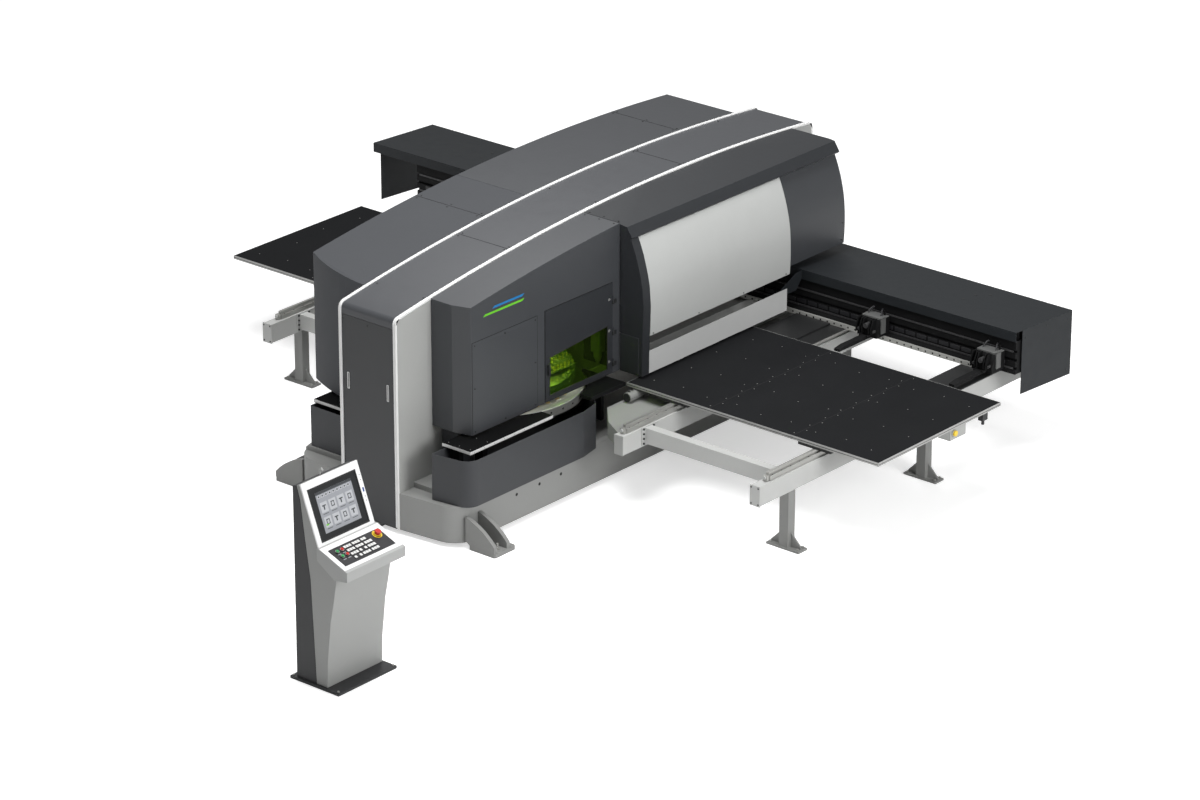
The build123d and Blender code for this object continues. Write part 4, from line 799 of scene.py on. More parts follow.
@dataclass(frozen=True)
class HousingTrim:
    """Seams, screws, door gap, hinges and stripes of the dark housings."""

    side: float = 756.0
    left: float = -1170.0
    roof: RoofLine = field(default_factory=RoofLine)
    door: Point = (1446.0, 2352.0, 899.0, 1752.0)
    panel: Point = (496.0, 1343.0, 889.0, 1739.0)

    def frame_lines(self, shape: Shape, edges: Point, width: float, x: float) -> None:
        """Four dark lines round an opening on the right side.

        Args:
            shape: the piece that takes the lines.
            edges: opening as y0, y1, z0 and z1.
            width: width of a line in millimetres.
            x: place of the housing's face.
        """
        y0, y1, z0, z1 = edges
        shape.box((x - 2.0, y0 - width, z0 - width), (x + 0.7, y1 + width, z0))
        shape.box((x - 2.0, y0 - width, z1), (x + 0.7, y1 + width, z1 + width))
        shape.box((x - 2.0, y0 - width, z0), (x + 0.7, y0, z1))
        shape.box((x - 2.0, y1, z0), (x + 0.7, y1 + width, z1))

    def build(self) -> None:
        """Adds what is fixed to the housings."""
        lines = Shape("housing_seams", GAP, Body.FRAME, "black_plastic")
        self.frame_lines(lines, self.door, 6.0, self.side)
        self.frame_lines(lines, self.panel, 5.0, self.side)
        for y in (1900.0, 4620.0):
            z = self.roof.height(y)
            lines.box((self.left + 8.0, y - 3.0, z - 2.0), (-345.0, y + 3.0, z + 0.9))
        lines.box((345.0, 2456.0, self.roof.height(2458.0) - 2.0), (752.0, 2462.0, self.roof.height(2458.0) + 1.2))
        lines.finish()
        screws = Shape("housing_screws", BLACK, Body.FRAME, "black_steel")
        for y in (1870.0, 1930.0, 4590.0, 4650.0):
            for x in (-1120.0, -760.0, -400.0):
                z = self.roof.height(y)
                screws.rod((x, y, z - 2.0), (x, y, z + 2.5), 8.0, sides=12)
        for y in (2425.0, 2490.0):
            for x in (380.0, 545.0, 715.0):
                z = self.roof.height(y)
                screws.rod((x, y, z - 2.0), (x, y, z + 2.5), 8.0, sides=12)
        for y in (523.0, 919.5, 1316.0):
            for z in (916.0, 1314.0, 1712.0):
                if y != 919.5 or z != 1314.0:
                    screws.rod((self.side + 2.0, y, z), (self.side + 7.0, y, z), 8.0, sides=12)
        screws.finish()
        hinges = Shape("door_hinge_leaves", LEG, Body.DOOR, "black_steel")
        for z in (1012.0, 1307.0, 1604.0):
            hinges.box((self.side + 5.0, 2296.0, z - 10.0), (self.side + 8.5, 2330.0, z + 14.0))
            for y in (2303.0, 2322.0):
                hinges.rod((self.side + 8.0, y, z + 2.0), (self.side + 10.5, y, z + 2.0), 4.0, sides=10)
        hinges.finish(0.8)
        rim = Shape("window_rim", BLACK, Body.DOOR, "black_steel")
        corners = ((1500.0, 945.0), (2284.0, 945.0), (2284.0, 1362.0), (1500.0, 1304.0))
        for (y0, z0), (y1, z1) in zip(corners, corners[1:] + corners[:1]):
            rim.tube(((self.side + 5.5, y0, z0), (self.side + 5.5, y1, z1)), 5.0, 8)
        rim.finish()
        for name, colour, z, start in (("stripe_blue", BLUE, 1992.0, 760.0), ("stripe_green", LIME, 1948.0, 640.0)):
            Shape(name, colour, Body.FRAME, "white_paint").prism(
                ((start, z - 9.0), (1150.0, z - 9.0), (1178.0, z + 11.0), (start + 28.0, z + 11.0)),
                "yz", self.side - 1.0, self.side + 0.9).finish()
        # The front block plate takes the darker copy of the dark paint: painted shade.
        block = Shape("front_block_plate", DARK_REAR_SHADED, Body.FRAME, "dark_paint")
        block.box((762.0, 2451.0, 896.0), (978.0, 2461.0, 1246.0))
        block.finish(3.0)


@dataclass(frozen=True)
class TurretTools:
    """Punch holders on the upper disc and dies in the lower disc."""

    middle: float = 1600.0
    stations: int = 36
    radius: float = 640.0

    def build(self) -> None:
        """Adds both rings of tools."""
        holders = Shape("punch_holders", TOOL, Body.UPPER_DISC, "turret_steel")
        caps = Shape("punch_heads", BRASS, Body.UPPER_DISC, "turret_steel")
        dies = Shape("dies", BRASS, Body.LOWER_DISC, "turret_steel")
        for i in range(self.stations):
            a = math.tau * (i + 0.5) / self.stations
            for radius, size, high in ((self.radius, 34.0, 0.0), (self.radius - 90.0, 27.0, 24.0),
                                       (self.radius + 70.0, 18.0, 18.0)):
                x = radius * math.cos(a)
                y = self.middle + radius * math.sin(a)
                holders.rod((x, y, 1003.0), (x, y, 1008.0 + high), size, sides=20)
                caps.rod((x, y, 1008.0 + high), (x, y, 1011.0 + 1.4 * high), size * 0.62, sides=16)
                dies.ring((x, y, 851.0), (0, 0, 1), size + 4.0, size - 10.0, 3.5, 20)
        holders.finish(1.0)
        caps.finish(1.0)
        dies.finish()
        edge = Shape("disc_clamps", STEEL, Body.UPPER_DISC, "turret_steel")
        marks = Shape("lower_disc_screws", BLACK, Body.LOWER_DISC, "turret_steel")
        for i in range(self.stations):
            a = math.tau * i / self.stations
            x, y = math.cos(a), math.sin(a)
            edge.rod((733.0 * x, self.middle + 733.0 * y, 952.0), (741.0 * x, self.middle + 741.0 * y, 952.0),
                     11.0, sides=12)
            marks.rod((826.0 * x, self.middle + 826.0 * y, 810.0), (833.0 * x, self.middle + 833.0 * y, 810.0),
                      9.0, sides=12)
        edge.finish()
        marks.finish()
        inside = Shape("housing_lamp", LAMP, Body.FRAME, "white_paint")
        inside.box((690.0, 1520.0, 1346.0), (746.0, 1850.0, 1354.0))
        inside.finish(1.0)
        rack = Shape("tool_blocks", TOOL, Body.FRAME, "machined_steel")
        valves = Shape("tool_valves", BRASS, Body.FRAME, "machined_steel")
        for i in range(6):
            y = 1716.0 + i * 50.0
            rack.box((500.0, y, 1060.0), (590.0, y + 34.0, 1096.0 + 16.0 * (i % 3)))
            rack.box((470.0, y + 4.0, 1100.0), (500.0, y + 30.0, 1196.0 - 14.0 * (i % 2)))
            valves.rod((612.0, y + 17.0, 1066.0), (612.0, y + 17.0, 1104.0), 11.0, sides=16)
            valves.rod((545.0, y + 17.0, 1090.0), (545.0, y + 17.0, 1150.0), 8.0, sides=14)
        rack.box((336.0, 1690.0, 1056.0), (630.0, 2020.0, 1066.0))
        rack.box((336.0, 1700.0, 1066.0), (470.0, 2016.0, 1250.0))
        rack.finish(2.0)
        valves.finish(1.5)


@dataclass(frozen=True)
class TableTrim:
    """Seams, screws and groove lines of the brush tables."""

    sides: tuple = ((945.0, 3745.0), (-3913.0, -915.0))
    front: float = 2331.0
    rear: float = 4105.0
    top: float = 860.0

    def build(self) -> None:
        """Adds what lies on the moving and fixed tables."""
        seams = Shape("table_seams", GAP, Body.CARRIAGE, "black_plastic")
        studs = Shape("table_screws", STEEL, Body.CARRIAGE, "edge_aluminium")
        grooves = Shape("table_grooves", GAP, Body.CARRIAGE, "black_plastic")
        for x0, x1 in self.sides:
            third = (x1 - x0) / 3.0
            for k in (1, 2):
                x = x0 + third * k
                seams.box((x - 2.0, self.front + 10.0, self.top - 1.0), (x + 2.0, self.rear - 10.0, self.top + 0.5))
                for i in range(16):
                    y = self.front + 60.0 + i * 110.0
                    studs.rod((x + (26.0 if i % 2 else -26.0), y, self.top - 1.0),
                              (x + (26.0 if i % 2 else -26.0), y, self.top + 0.8), 5.0, sides=8)
            for i in range(9):
                for j in range(4):
                    x = x0 + 190.0 + i * (x1 - x0 - 380.0) / 8.0 + (37.0 if j % 2 else -31.0)
                    y = self.front + 210.0 + j * 440.0 + (23.0 if i % 2 else -19.0)
                    studs.rod((x, y, self.top - 1.0), (x, y, self.top + 0.8), 5.0, sides=8)
            grooves.box((x0 + 4.0, self.front - 0.4, 839.0), (x1 - 4.0, self.front + 2.0, 844.0))
            out = x1 if x0 > 0 else x0
            grooves.box((out - 2.0 if x0 > 0 else out - 0.4, self.front + 4.0, 839.0),
                        (out + 0.4 if x0 > 0 else out + 2.0, self.rear - 4.0, 844.0))
        seams.finish()
        studs.finish()
        grooves.finish()
        fixed = Shape("fixed_table_screws", STEEL, Body.FRAME, "edge_aluminium")
        for x in (650.0, 775.0, 900.0):
            for y in (300.0, 520.0):
                fixed.rod((x, y, self.top - 1.0), (x, y, self.top + 0.8), 5.0, sides=8)
        for i in range(8):
            fixed.rod((940.0 - 3.5, 310.0 + i * 130.0, 842.0), (940.0 - 1.5, 310.0 + i * 130.0, 842.0), 5.0, sides=8)
        fixed.finish()
        strip = Shape("front_table_strips", STRIP, Body.FRAME, "edge_aluminium")
        for side in (-1.0, 1.0):
            x0, x1 = (610.0, 937.0) if side > 0 else (345.0, 905.0)
            strip.box((side * x1 - 1.2, 257.8, 830.0), (side * x1 + 1.2, 1339.0, 857.0))
            strip.box((min(side * x0, side * x1), 257.8, 830.0), (max(side * x0, side * x1), 259.6, 857.0))
        strip.finish(0.6)
        bracket = Shape("limit_switch", PLASTIC, Body.CARRIAGE, "black_plastic")
        bracket.box((3672.0, 3868.0, 744.0), (3726.0, 3942.0, 812.0))
        bracket.box((3690.0, 3880.0, 800.0), (3710.0, 3930.0, 826.0))
        bracket.rod((3700.0, 3905.0, 700.0), (3700.0, 3905.0, 745.0), 14.0, sides=14)
        bracket.finish(3.0)
        box = Shape("switch_box_lid", PALE, Body.CARRIAGE, "light_paint")
        box.box((3585.0, 3414.0, 710.0), (3695.0, 3418.0, 814.0))
        box.finish(1.5)


@dataclass(frozen=True)
class BeamTrim:
    """Bolts, end plates' screws and rail ends of the side beams."""

    low: float = 540.0
    high: float = 722.0
    beams: tuple = ((1460.5, 1612.0), (3049.5, 1517.0), (-1460.5, 1612.0), (-2696.5, 1517.0))
    joints: tuple = (1509.0, 3001.0, -2648.0, -1509.0)

    def build(self) -> None:
        """Adds the fasteners."""
        bolts = Shape("beam_bolts", BLACK, Body.FRAME, "black_steel")
        for k, x in enumerate(self.joints):
            out = 1.0 if k % 2 == 0 else -1.0
            for cy in (1945.0, 5240.0):
                for dy in (-68.0, 68.0):
                    for z in (574.0, 620.0, 664.0, 710.0):
                        bolts.rod((x + out * 10.0, cy + dy, z), (x + out * 21.0, cy + dy, z), 11.0, sides=6)
        for x, y in self.beams:
            for dx in (-38.0, 38.0):
                for z in (self.low + 16.0, self.high - 16.0):
                    bolts.rod((x + dx, y + 2.0, z), (x + dx, y - 3.0, z), 8.0, sides=12)
        bolts.finish(0.8)
        plates = Shape("beam_end_plates", LIGHT, Body.FRAME, "light_paint")
        for x in (1460.5, -1460.5):
            plates.box((x - 50.0, 1606.0, self.low - 2.0), (x + 50.0, 1612.5, self.high + 2.0))
        plates.finish(1.5)
        rails = Shape("rail_ends", STEEL, Body.FRAME, "machined_steel")
        caps = Shape("rail_buffers", PALE, Body.FRAME, "light_paint")
        dots = Shape("rail_screws", BLACK, Body.FRAME, "black_steel")
        for x, _ in self.beams:
            rails.box((x - 24.0, 1652.0, self.high), (x + 24.0, 1688.0, self.high + 52.0))
            caps.rod((x, 1640.0, self.high + 34.0), (x, 1653.0, self.high + 34.0), 15.0, sides=18)
            for i in range(30):
                y = 1730.0 + i * 125.0
                for dx in (-22.0, 22.0):
                    dots.rod((x + dx, y, self.high + 43.0), (x + dx, y, self.high + 46.0), 5.0, sides=8)
        rails.finish(3.0)
        caps.finish(2.0)
        dots.finish()
        feet = Shape("foot_bolts", STEEL, Body.FRAME, "machined_steel")
        for x in (3049.5, -2696.5):
            for y in (1971.0, 3941.0):
                for dx in (-150.0, 150.0):
                    for dy in (-38.0, 38.0):
                        feet.rod((x + dx, y + dy, 19.0), (x + dx, y + dy, 36.0), 10.0, sides=6)
        for side in (-1.0, 1.0):
            for y in (289.0 - 35.0, 4989.0 - 35.0):
                feet.rod((side * 1240.0, y, 39.0), (side * 1240.0, y, 58.0), 22.0, sides=6)
                feet.rod((side * 1240.0, y, 58.0), (side * 1240.0, y, 96.0), 11.0, sides=16)
        feet.finish(1.0)
        holes = Shape("base_holes", GAP, Body.FRAME, "black_plastic")
        for side in (-1.0, 1.0):
            for y in (824.0, 1126.0, 1413.0, 3300.0, 3700.0, 4100.0):
                holes.rod((side * 963.0, y, 283.0), (side * 965.7, y, 283.0), 15.0, sides=20)
        holes.finish()
        motor = Shape("motor_parts", BLACK, Body.FRAME, "black_steel")
        motor.rod((1034.0, 2222.0, 765.0), (1034.0, 2231.0, 765.0), 40.0, sides=28)
        motor.rod((1034.0, 2262.0, 800.0), (1034.0, 2262.0, 821.0), 13.0, sides=14)
        motor.rod((1034.0, 2300.0, 800.0), (1034.0, 2300.0, 819.0), 13.0, sides=14)
        for a in range(6):
            motor.box((1034.0 - 47.0, 2250.0 + a * 30.0, 762.0), (1034.0 + 47.0, 2254.0 + a * 30.0, 768.0))
        motor.finish(1.5)


@dataclass(frozen=True)
class CoverTrim:
    """Screws, lip and guide details of the travelling cover and its beam."""

    left: float = -4365.0
    right: float = 3413.0
    front: float = 4776.0
    rear: float = 5645.0

    def build(self) -> None:
        """Adds what belongs to the cover and the cross beam."""
        screws = Shape("cover_screws", BLACK, Body.CARRIAGE, "black_steel")
        for x, y in ((2537.0, 5180.0), (2555.0, 5340.0), (2650.0, 5440.0), (-3300.0, 5180.0), (-3320.0, 5360.0)):
            z = 1225.0 - 42.0 * (y - self.front) / (self.rear - self.front)
            screws.rod((x, y, z - 2.0), (x, y, z + 2.0), 14.0, sides=16)
        for side, x in ((1.0, self.right), (-1.0, self.left)):
            for y, z in ((4930.0, 680.0), (5580.0, 620.0), (4930.0, 1130.0), (5580.0, 1110.0), (5250.0, 1150.0)):
                screws.rod((x - side * 2.0, y, z), (x + side * 2.5, y, z), 8.0, sides=12)
        screws.finish()
        # The lip takes the darker copy of the dark paint: painted shade.
        lip = Shape("cover_lip", DARK_COVER_SHADED, Body.CARRIAGE, "dark_paint")
        lip.box((self.left, self.front + 6.0, 1130.0), (self.right, self.front + 26.0, 1136.0))
        lip.finish(1.0)
        # The guides take the darkened steel: painted shade under the cover.
        guides = Shape("beam_guides", SHADED_STEEL, Body.CARRIAGE, "machined_steel")
        for z in (862.0, 1022.0):
            guides.box((-3780.0, 4800.5, z - 8.0), (3370.0, 4812.0, z + 8.0))
        guides.finish(1.5)
        rack = Shape("beam_cables", PLASTIC, Body.CARRIAGE, "black_plastic")
        for i in range(56):
            x = -3700.0 + i * 125.0
            rack.box((x, 4802.0, 884.0), (x + 105.0, 4822.0, 924.0))
        rack.finish(3.0)
        shade = Shape("rail_cover", PITCH, Body.CLAMPS, "black_steel")
        shade.box((-199.0, 4713.0, 849.0), (3199.0, 4803.0, 851.5)).finish()
        holes = Shape("rail_holes", GAP, Body.CLAMPS, "black_plastic")
        for i in range(42):
            x = -160.0 + i * 80.0
            holes.rod((x, 4698.0, 829.0), (x, 4696.4, 829.0), 9.0, sides=14)
        holes.finish()


@dataclass(frozen=True)
class ClampTrim:
    """Levers, cylinder, fins and covers of one sheet clamp."""

    middle: float
    number: int

    def build(self) -> None:
        """Adds the parts of one clamp."""
        x, n = self.middle, self.number
        # The cap's grey stands for light on the clamp top: painted light.
        cap = Shape(f"clamp_cap_{n}", LIT_CAP, Body.CLAMPS, "machined_steel")
        cap.box((x - 98.0, 4664.0, 1024.0), (x + 98.0, 4770.0, 1031.0))
        cap.box((x - 98.0, 4655.0, 990.0), (x + 98.0, 4664.0, 1031.0))
        cap.box((x + 104.0, 4655.0, 880.0), (x + 122.0, 4664.0, 1031.0))
        cap.box((x + 114.0, 4664.0, 880.0), (x + 122.0, 4720.0, 1031.0))
        cap.box((x + 98.0, 4655.0, 1024.0), (x + 122.0, 4770.0, 1031.0))
        cap.finish(2.0)
        fins = Shape(f"clamp_fins_{n}", PITCH, Body.CLAMPS, "black_steel")
        for dx in (-104.0, -62.0, -38.0, 38.0, 62.0):
            fins.prism(((4566.0, 884.0), (4610.0, 884.0), (4664.0, 1018.0), (4600.0, 1018.0), (4566.0, 940.0)),
                       "yz", x + dx - 5.0, x + dx + 5.0)
        fins.finish(1.5)
        # The cylinders take the darkened steel: painted shade.
        drive = Shape(f"clamp_cylinder_{n}", SHADED_STEEL, Body.CLAMPS, "machined_steel")
        drive.rod((x, 4568.0, 960.0), (x, 4628.0, 960.0), 24.0, sides=24)
        drive.rod((x - 84.0, 4575.0, 915.0), (x - 84.0, 4620.0, 915.0), 13.0, sides=16)
        drive.rod((x + 84.0, 4575.0, 915.0), (x + 84.0, 4620.0, 915.0), 13.0, sides=16)
        drive.finish(1.5)
        hose = Shape(f"clamp_hose_{n}", PLASTIC, Body.CLAMPS, "black_plastic")
        for dx in (-70.0, 70.0):
            hose.tube(((x + dx, 4712.0, 1028.0), (x + dx, 4722.0, 1050.0), (x + dx * 0.8, 4750.0, 1075.0),
                       (x + dx * 0.7, 4768.0, 1080.0)), 8.0)
        hose.finish()


@dataclass(frozen=True)
class ConsoleTrim:
    """Screen picture, keys, rings, lamp collar and hook of the console."""

    middle: float = -2319.6
    desk: Seat = Seat((1925.0, -2319.6, 1250.0), 21.5)
    head: Seat = Seat((1727.0, -2319.6, 1750.0), 69.494)

    def build(self) -> None:
        """Adds everything on the console."""
        self.picture()
        self.keys()
        self.fittings()

    def picture(self) -> None:
        """Plain interface: header row and eight tiles without text."""
        ground = Shape("screen_picture", UI_GREY, Body.FRAME, "screen_glass")
        ground.slab(self.head, (-208.0, 114.0, -4.5), (208.0, 453.0, -3.2)).finish()
        header = Shape("screen_header", UI_DARK, Body.FRAME, "screen_glass")
        header.slab(self.head, (-208.0, 114.0, -3.4), (208.0, 136.0, -2.9))
        tiles = Shape("screen_tiles", UI_WHITE, Body.FRAME, "screen_glass")
        marks = Shape("screen_marks", UI_DARK, Body.FRAME, "screen_glass")
        for i in range(9):
            tiles.slab(self.head, (-194.0 + i * 43.0, 142.0, -3.4), (-162.0 + i * 43.0, 166.0, -2.9))
            header.slab(self.head, (-186.0 + i * 43.0, 148.0, -3.1), (-170.0 + i * 43.0, 160.0, -2.6))
        for row in range(2):
            for column in range(4):
                a, d = -186.0 + column * 98.0, 204.0 + row * 122.0
                tiles.slab(self.head, (a, d, -3.4), (a + 78.0, d + 84.0, -2.9))
                if (row + column) % 2:
                    marks.slab(self.head, (a + 20.0, d + 18.0, -3.1), (a + 58.0, d + 62.0, -2.6))
                    tiles.slab(self.head, (a + 28.0, d + 26.0, -2.7), (a + 50.0, d + 54.0, -2.3))
                else:
                    marks.slab(self.head, (a + 18.0, d + 24.0, -3.1), (a + 60.0, d + 34.0, -2.6))
                    marks.slab(self.head, (a + 30.0, d + 34.0, -3.1), (a + 44.0, d + 64.0, -2.6))
                marks.slab(self.head, (a + 8.0, d + 94.0, -3.4), (a + 70.0, d + 99.0, -2.9))
        header.finish()
        tiles.finish()
        marks.finish()
        accent = Shape("screen_accent", LIME, Body.FRAME, "screen_glass")
        accent.slab(self.head, (-180.0, 384.0, -2.9), (-150.0, 396.0, -2.3)).finish()

    def keys(self) -> None:
        """White keys on the blocks and rings round the buttons."""
        caps = Shape("keys", KEY_WHITE, Body.FRAME, "black_plastic")
        for row in (94.0, 138.0, 182.0, 226.0):
            for block in (-108.0, -8.0, 92.0):
                for dx in (-29.0, 0.0, 29.0):
                    if (row, block, dx) in ((226.0, -108.0, 0.0), (94.0, 92.0, 29.0), (182.0, -8.0, 0.0)):
                        continue
                    caps.slab(self.desk, (block + dx - 12.0, row - 12.5, 7.0), (block + dx + 12.0, row + 12.5, 11.5))
        caps.finish(1.5)
        plate = Shape("desk_plate", WHITE, Body.FRAME, "white_paint")
        plate.slab(self.desk, (-340.0, 6.0, -1.0), (340.0, 302.0, 0.7)).finish()
        labels = Shape("button_plates", UI_GREY, Body.FRAME, "black_plastic")
        for across, down in ((-235.0, 136.0), (-180.0, 136.0), (-235.0, 199.0), (-180.0, 199.0)):
            labels.slab(self.desk, (across - 16.0, down - 4.0, 3.0), (across + 16.0, down + 4.0, 3.6))
        labels.finish()
        ring = Shape("stop_ring", YELLOW, Body.FRAME, "yellow_plastic")
        ring.ring(self.desk.at(232.0, 107.0, 3.1), self.desk.out(), 44.0, 34.0, 2.0, 40)
        ring.ring(self.desk.at(232.0, 107.0, 11.6), self.desk.out(), 35.5, 23.6, 1.2, 40)
        ring.finish(0.6)
        bezels = Shape("button_rings", STEEL, Body.FRAME, "machined_steel")
        for across in (-235.0, -180.0):
            for down in (105.0, 168.0):
                bezels.ring(self.desk.at(across, down, 11.6), self.desk.out(), 18.5, 14.2, 1.4, 28)
        bezels.finish(0.5)
        head = Shape("stop_mushroom", RED, Body.EMERGENCY, "red_plastic")
        head.rod(self.desk.at(232.0, 107.0, 28.0), self.desk.at(232.0, 107.0, 41.0), 31.0, 27.0, 32)
        head.finish(3.0, 3)

    def fittings(self) -> None:
        """Screen rim, side switch, hook and foot bolts."""
        rim = Shape("screen_rim", BLACK, Body.FRAME, "black_plastic")
        for low, high in (((-282.0, 62.0, -5.0), (-270.0, 508.0, 1.2)), ((270.0, 62.0, -5.0), (282.0, 508.0, 1.2)),
                          ((-282.0, 62.0, -5.0), (282.0, 74.0, 1.2)), ((-282.0, 496.0, -5.0), (282.0, 508.0, 1.2))):
            rim.slab(self.head, low, high)
        rim.finish(1.5)
        port = Shape("console_port", BLUE_DARK, Body.FRAME, "black_plastic")
        port.slab(self.head, (300.0, 226.0, -1.0), (316.0, 262.0, 1.6)).finish(1.0)
        marks = Shape("port_lamps", UI_GREY, Body.FRAME, "machined_steel")
        for down in (120.0, 160.0, 300.0, 335.0):
            marks.rod(self.head.at(308.0, down, -1.0), self.head.at(308.0, down, 2.0), 5.0, sides=12)
        marks.finish()
        hook = Shape("cable_hook", PALE, Body.FRAME, "machined_steel")
        hook.tube(((1668.0, self.middle - 40.0, 1722.0), (1664.0, self.middle - 40.0, 1764.0),
                   (1680.0, self.middle - 34.0, 1782.0), (1694.0, self.middle - 34.0, 1768.0)), 7.0)
        hook.finish()
        bolts = Shape("console_bolts", STEEL, Body.FRAME, "machined_steel")
        for x in (1594.0, 2090.0):
            for dy in (-325.0, 325.0):
                bolts.rod((x, self.middle + dy, 24.0), (x, self.middle + dy, 36.0), 10.0, sides=6)
        bolts.finish(1.0)


@dataclass(frozen=True)
class RearTrim:
    """Doors, louvres, seams and screws on the back and the left side."""

    back: float = 5736.0
    left: float = -1170.0
    cover_back: float = 5645.0
    roof: RoofLine = field(default_factory=RoofLine)

    def build(self) -> None:
        """Adds the details of the sides that the picture hides."""
        self.cabinet()
        self.left_side()
        self.cover()

    def cabinet(self) -> None:
        """Cabinet doors, louvres and cable gland on the end of the spine."""
        lines = Shape("rear_seams", GAP, Body.FRAME, "black_plastic")
        y = self.back
        for z0, z1 in ((260.0, 1080.0), (1140.0, 2000.0)):
            for x in (-262.0, 262.0):
                lines.box((x - 2.0, y - 2.0, z0), (x + 2.0, y + 0.8, z1))
            for z in (z0, z1):
                lines.box((-264.0, y - 2.0, z - 2.0), (264.0, y + 0.8, z + 2.0))
        lines.finish()
        slats = Shape("rear_louvres", LEG, Body.FRAME, "light_paint")
        slots = Shape("rear_slots", GAP, Body.FRAME, "black_plastic")
        for i in range(10):
            z = 1700.0 + i * 24.0
            slots.box((-150.0, y - 2.0, z), (150.0, y + 0.8, z + 9.0))
            slats.prism(((y - 1.0, z + 9.0), (y + 5.0, z + 4.0), (y + 6.0, z + 5.0), (y - 1.0, z + 13.0)),
                        "yz", -154.0, 154.0)
        slots.finish()
        slats.finish(0.6)
        locks = Shape("rear_locks", STEEL, Body.FRAME, "machined_steel")
        for z in (420.0, 900.0, 1300.0, 1850.0):
            locks.rod((228.0, y - 1.0, z), (228.0, y + 6.0, z), 13.0, sides=24)
            locks.box((224.0, y + 5.0, z - 9.0), (232.0, y + 8.0, z + 9.0))
        for z in (340.0, 1000.0, 1220.0, 1920.0):
            locks.rod((-252.0, y + 2.0, z - 28.0), (-252.0, y + 2.0, z + 28.0), 6.0, sides=14)
        locks.finish(0.8)
        glands = Shape("rear_glands", PLASTIC, Body.FRAME, "black_plastic")
        for x in (-120.0, -60.0, 0.0, 60.0):
            glands.rod((x, y - 1.0, 170.0), (x, y + 9.0, 170.0), 17.0, sides=6)
            glands.rod((x, y + 8.0, 170.0), (x, y + 16.0, 170.0), 12.0, sides=20)
        glands.finish(1.0)

    def left_side(self) -> None:
        """Panel seams, vents and handles on the left housings."""
        lines = Shape("left_seams", GAP, Body.FRAME, "black_plastic")
        screws = Shape("left_screws", STEEL, Body.FRAME, "machined_steel")
        x = self.left
        for y0, y1, z0, z1 in ((2640.0, 3540.0, 1300.0, 1960.0), (3620.0, 4540.0, 1300.0, 1960.0),
                               (620.0, 1240.0, 940.0, 1700.0), (1320.0, 2280.0, 940.0, 1760.0)):
            for y in (y0, y1):
                lines.box((x - 0.8, y - 2.0, z0), (x + 2.0, y + 2.0, z1))
            for z in (z0, z1):
                lines.box((x - 0.8, y0 - 2.0, z - 2.0), (x + 2.0, y1 + 2.0, z + 2.0))
            for y in (y0 + 30.0, 0.5 * (y0 + y1), y1 - 30.0):
                for z in (z0 + 30.0, z1 - 30.0):
                    screws.rod((x + 1.0, y, z), (x - 2.5, y, z), 8.0, sides=12)
        lines.finish()
        screws.finish()
        slots = Shape("left_slots", GAP, Body.FRAME, "black_plastic")
        # The louvres take the darker copy of the dark paint: painted shade.
        slats = Shape("left_louvres", DARK_REAR_SHADED, Body.FRAME, "dark_paint")
        for bay in (2760.0, 3740.0):
            for i in range(8):
                z = 1700.0 + i * 24.0
                slots.box((x - 0.8, bay, z), (x + 2.0, bay + 660.0, z + 9.0))
                slats.prism(((x + 1.0, z + 9.0), (x - 5.0, z + 4.0), (x - 6.0, z + 5.0), (x + 1.0, z + 13.0)),
                            "xz", bay - 4.0, bay + 664.0)
        slots.finish()
        slats.finish(0.6)
        pulls = Shape("left_pulls", BLACK, Body.FRAME, "black_steel")
        for y in (1400.0, 3480.0, 3680.0):
            pulls.tube(((x - 1.0, y, 1330.0), (x - 24.0, y, 1340.0), (x - 24.0, y, 1440.0), (x - 1.0, y, 1450.0)), 6.0)
        pulls.finish()

    def cover(self) -> None:
        """Seams and screws along the back of the travelling cover."""
        lines = Shape("cover_seams", GAP, Body.CARRIAGE, "black_plastic")
        screws = Shape("cover_back_screws", STEEL, Body.CARRIAGE, "machined_steel")
        for i in range(1, 5):
            x = -4365.0 + i * 1555.6
            lines.box((x - 2.0, self.cover_back - 2.0, 900.0), (x + 2.0, self.cover_back + 0.8, 1178.0))
            for dx in (-40.0, 40.0):
                for z in (940.0, 1140.0):
                    screws.rod((x + dx, self.cover_back - 1.0, z), (x + dx, self.cover_back + 2.5, z), 8.0, sides=12)
        lines.finish()
        screws.finish()


@dataclass(frozen=True)
class LightPanelTrim:
    """Fasteners of the light side panel and its neighbours."""

    def build(self) -> None:
        """Adds the fasteners."""
        screws = Shape("side_panel_screws", BLACK, Body.FRAME, "black_steel")
        for y in (2600.0, 3240.0, 3880.0, 4500.0):
            screws.rod((1022.0, y, 1268.0), (1030.0, y, 1268.0), 6.0, sides=10)
        for z in (1330.0, 1500.0):
            screws.rod((970.0, 5400.0, z), (979.0, 5400.0, z), 7.0, sides=10)
        screws.finish()


# ---------------------------------------------------------------- studio
@dataclass(frozen=True)
class Lens:
    """Camera of the photograph, in metres and degrees."""

    place: Point = (26.2044, -27.8536, 17.1039)
    yaw: float = 40.2669
    pitch: float = 22.6406
    roll: float = 0.042
    focal: float = 144.083


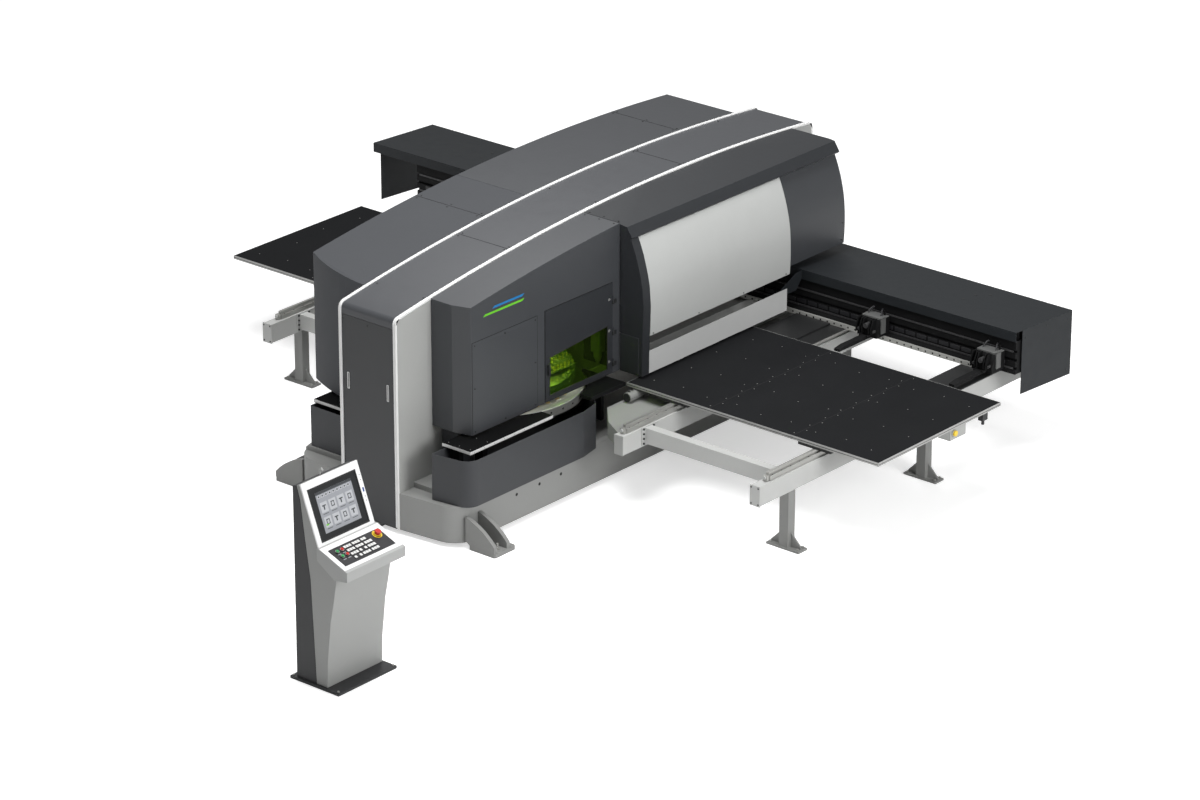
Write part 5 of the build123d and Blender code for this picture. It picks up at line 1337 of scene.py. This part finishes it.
@dataclass(frozen=True)
class Studio:
    """Floor, backdrop, lights and camera."""

    lens: Lens = field(default_factory=Lens)
    ambient: float = 0.3

    def build(self) -> None:
        """Makes everything round the machine."""
        self.floor()
        self.lights()
        self.camera()

    def floor(self) -> None:
        """White floor that shows white to the camera and keeps a soft shadow."""
        data = bpy.data.meshes.new("floor")
        side = 120.0
        data.from_pydata([(-side, -side, 0), (side, -side, 0), (side, side, 0), (-side, side, 0)], [], [(0, 1, 2, 3)])
        ground = bpy.data.objects.new("floor", data)
        bpy.context.collection.objects.link(ground)
        g = Graph("floor_white")
        grain = g.noise(0.8, 3.0)
        base = g.node("ShaderNodeBsdfPrincipled", {}, {
            "Base Color": g.tint((0.8, 0.8, 0.8), (0.83, 0.83, 0.83), grain), "Roughness": 0.9,
            "Specular IOR Level": 0.0, "Emission Color": (1, 1, 1, 1),
            "Emission Strength": g.node("ShaderNodeLightPath") * 0.5 + 0.03})
        g.node("ShaderNodeOutputMaterial", {}, {"Surface": base})
        data.materials.append(g.material)

    def lights(self) -> None:
        """Even surroundings and large soft lamps."""
        world = bpy.data.worlds.new("studio")
        bpy.context.scene.world = world
        world.use_nodes = True
        tree = world.node_tree
        tree.nodes.clear()
        path = tree.nodes.new("ShaderNodeLightPath")
        soft = tree.nodes.new("ShaderNodeBackground")
        soft.inputs[0].default_value = (1.0, 1.0, 1.0, 1.0)
        soft.inputs[1].default_value = self.ambient
        plain = tree.nodes.new("ShaderNodeBackground")
        plain.inputs[0].default_value = (1.0, 1.0, 1.0, 1.0)
        plain.inputs[1].default_value = 1.0
        mix = tree.nodes.new("ShaderNodeMixShader")
        out = tree.nodes.new("ShaderNodeOutputWorld")
        tree.links.new(path.outputs["Is Camera Ray"], mix.inputs[0])
        tree.links.new(soft.outputs[0], mix.inputs[1])
        tree.links.new(plain.outputs[0], mix.inputs[2])
        tree.links.new(mix.outputs[0], out.inputs[0])
        for name, place, aim, size, power in (
            ("overhead", (1.0, 0.0, 14.0), (0.5, 2.0, 1.0), 9.0, 1900.0),
            ("behind", (-9.0, 12.0, 16.0), (0.0, 1.5, 2.0), 5.0, 470.0),
            ("right", (16.0, 1.0, 7.0), (0.5, 3.0, 1.0), 8.0, 1450.0),
        ):
            lamp = bpy.data.lights.new(name, "AREA")
            lamp.shape = "DISK"
            lamp.size = size
            lamp.energy = power
            held = bpy.data.objects.new(name, lamp)
            bpy.context.collection.objects.link(held)
            held.location = place
            held.rotation_mode = "QUATERNION"
            held.rotation_quaternion = (Vector(aim) - Vector(place)).to_track_quat("-Z", "Y")

    def camera(self) -> None:
        """Camera solved from the photograph."""
        lens = bpy.data.cameras.new("camera")
        lens.sensor_width = 36.0
        lens.lens = self.lens.focal
        lens.clip_start = 1.0
        lens.clip_end = 300.0
        eye = bpy.data.objects.new("camera", lens)
        bpy.context.collection.objects.link(eye)
        a, e = math.radians(self.lens.yaw), math.radians(self.lens.pitch)
        ahead = Vector((-math.sin(a) * math.cos(e), math.cos(a) * math.cos(e), -math.sin(e)))
        right = Vector((math.cos(a), math.sin(a), 0.0))
        up = right.cross(ahead)
        roll = math.radians(self.lens.roll)
        right, up = right * math.cos(roll) + up * math.sin(roll), up * math.cos(roll) - right * math.sin(roll)
        turn = Matrix((right, up, -ahead)).transposed()
        eye.matrix_world = Matrix.Translation(self.lens.place) @ turn.to_4x4()
        bpy.context.scene.camera = eye


def dress_nodes() -> None:
    """Gives every CAD node its finish or its rounded copy."""
    for refit in REFITS:
        refined(refit.node, refit.look, refit.body, refit.bevel, refit.steps)
    for node, look in PLAIN.items():
        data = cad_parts[node].data
        data.materials.clear()
        data.materials.append(finish_of(look))


def main() -> None:
    """Builds the machine's looks in order."""
    logging.basicConfig(level=logging.INFO)
    dress_nodes()
    for part in (SpineTrim(), HousingTrim(), TurretTools(), TableTrim(), BeamTrim(), CoverTrim(),
                 ClampTrim(1890.0, 1), ClampTrim(3175.0, 2), ConsoleTrim(), LightPanelTrim(), RearTrim()):
        part.build()
        log.info("built %s", type(part).__name__)
    Studio().build()
    scene = bpy.context.scene
    scene.view_settings.view_transform = "Standard"


if __name__ == "__main__":
    main()
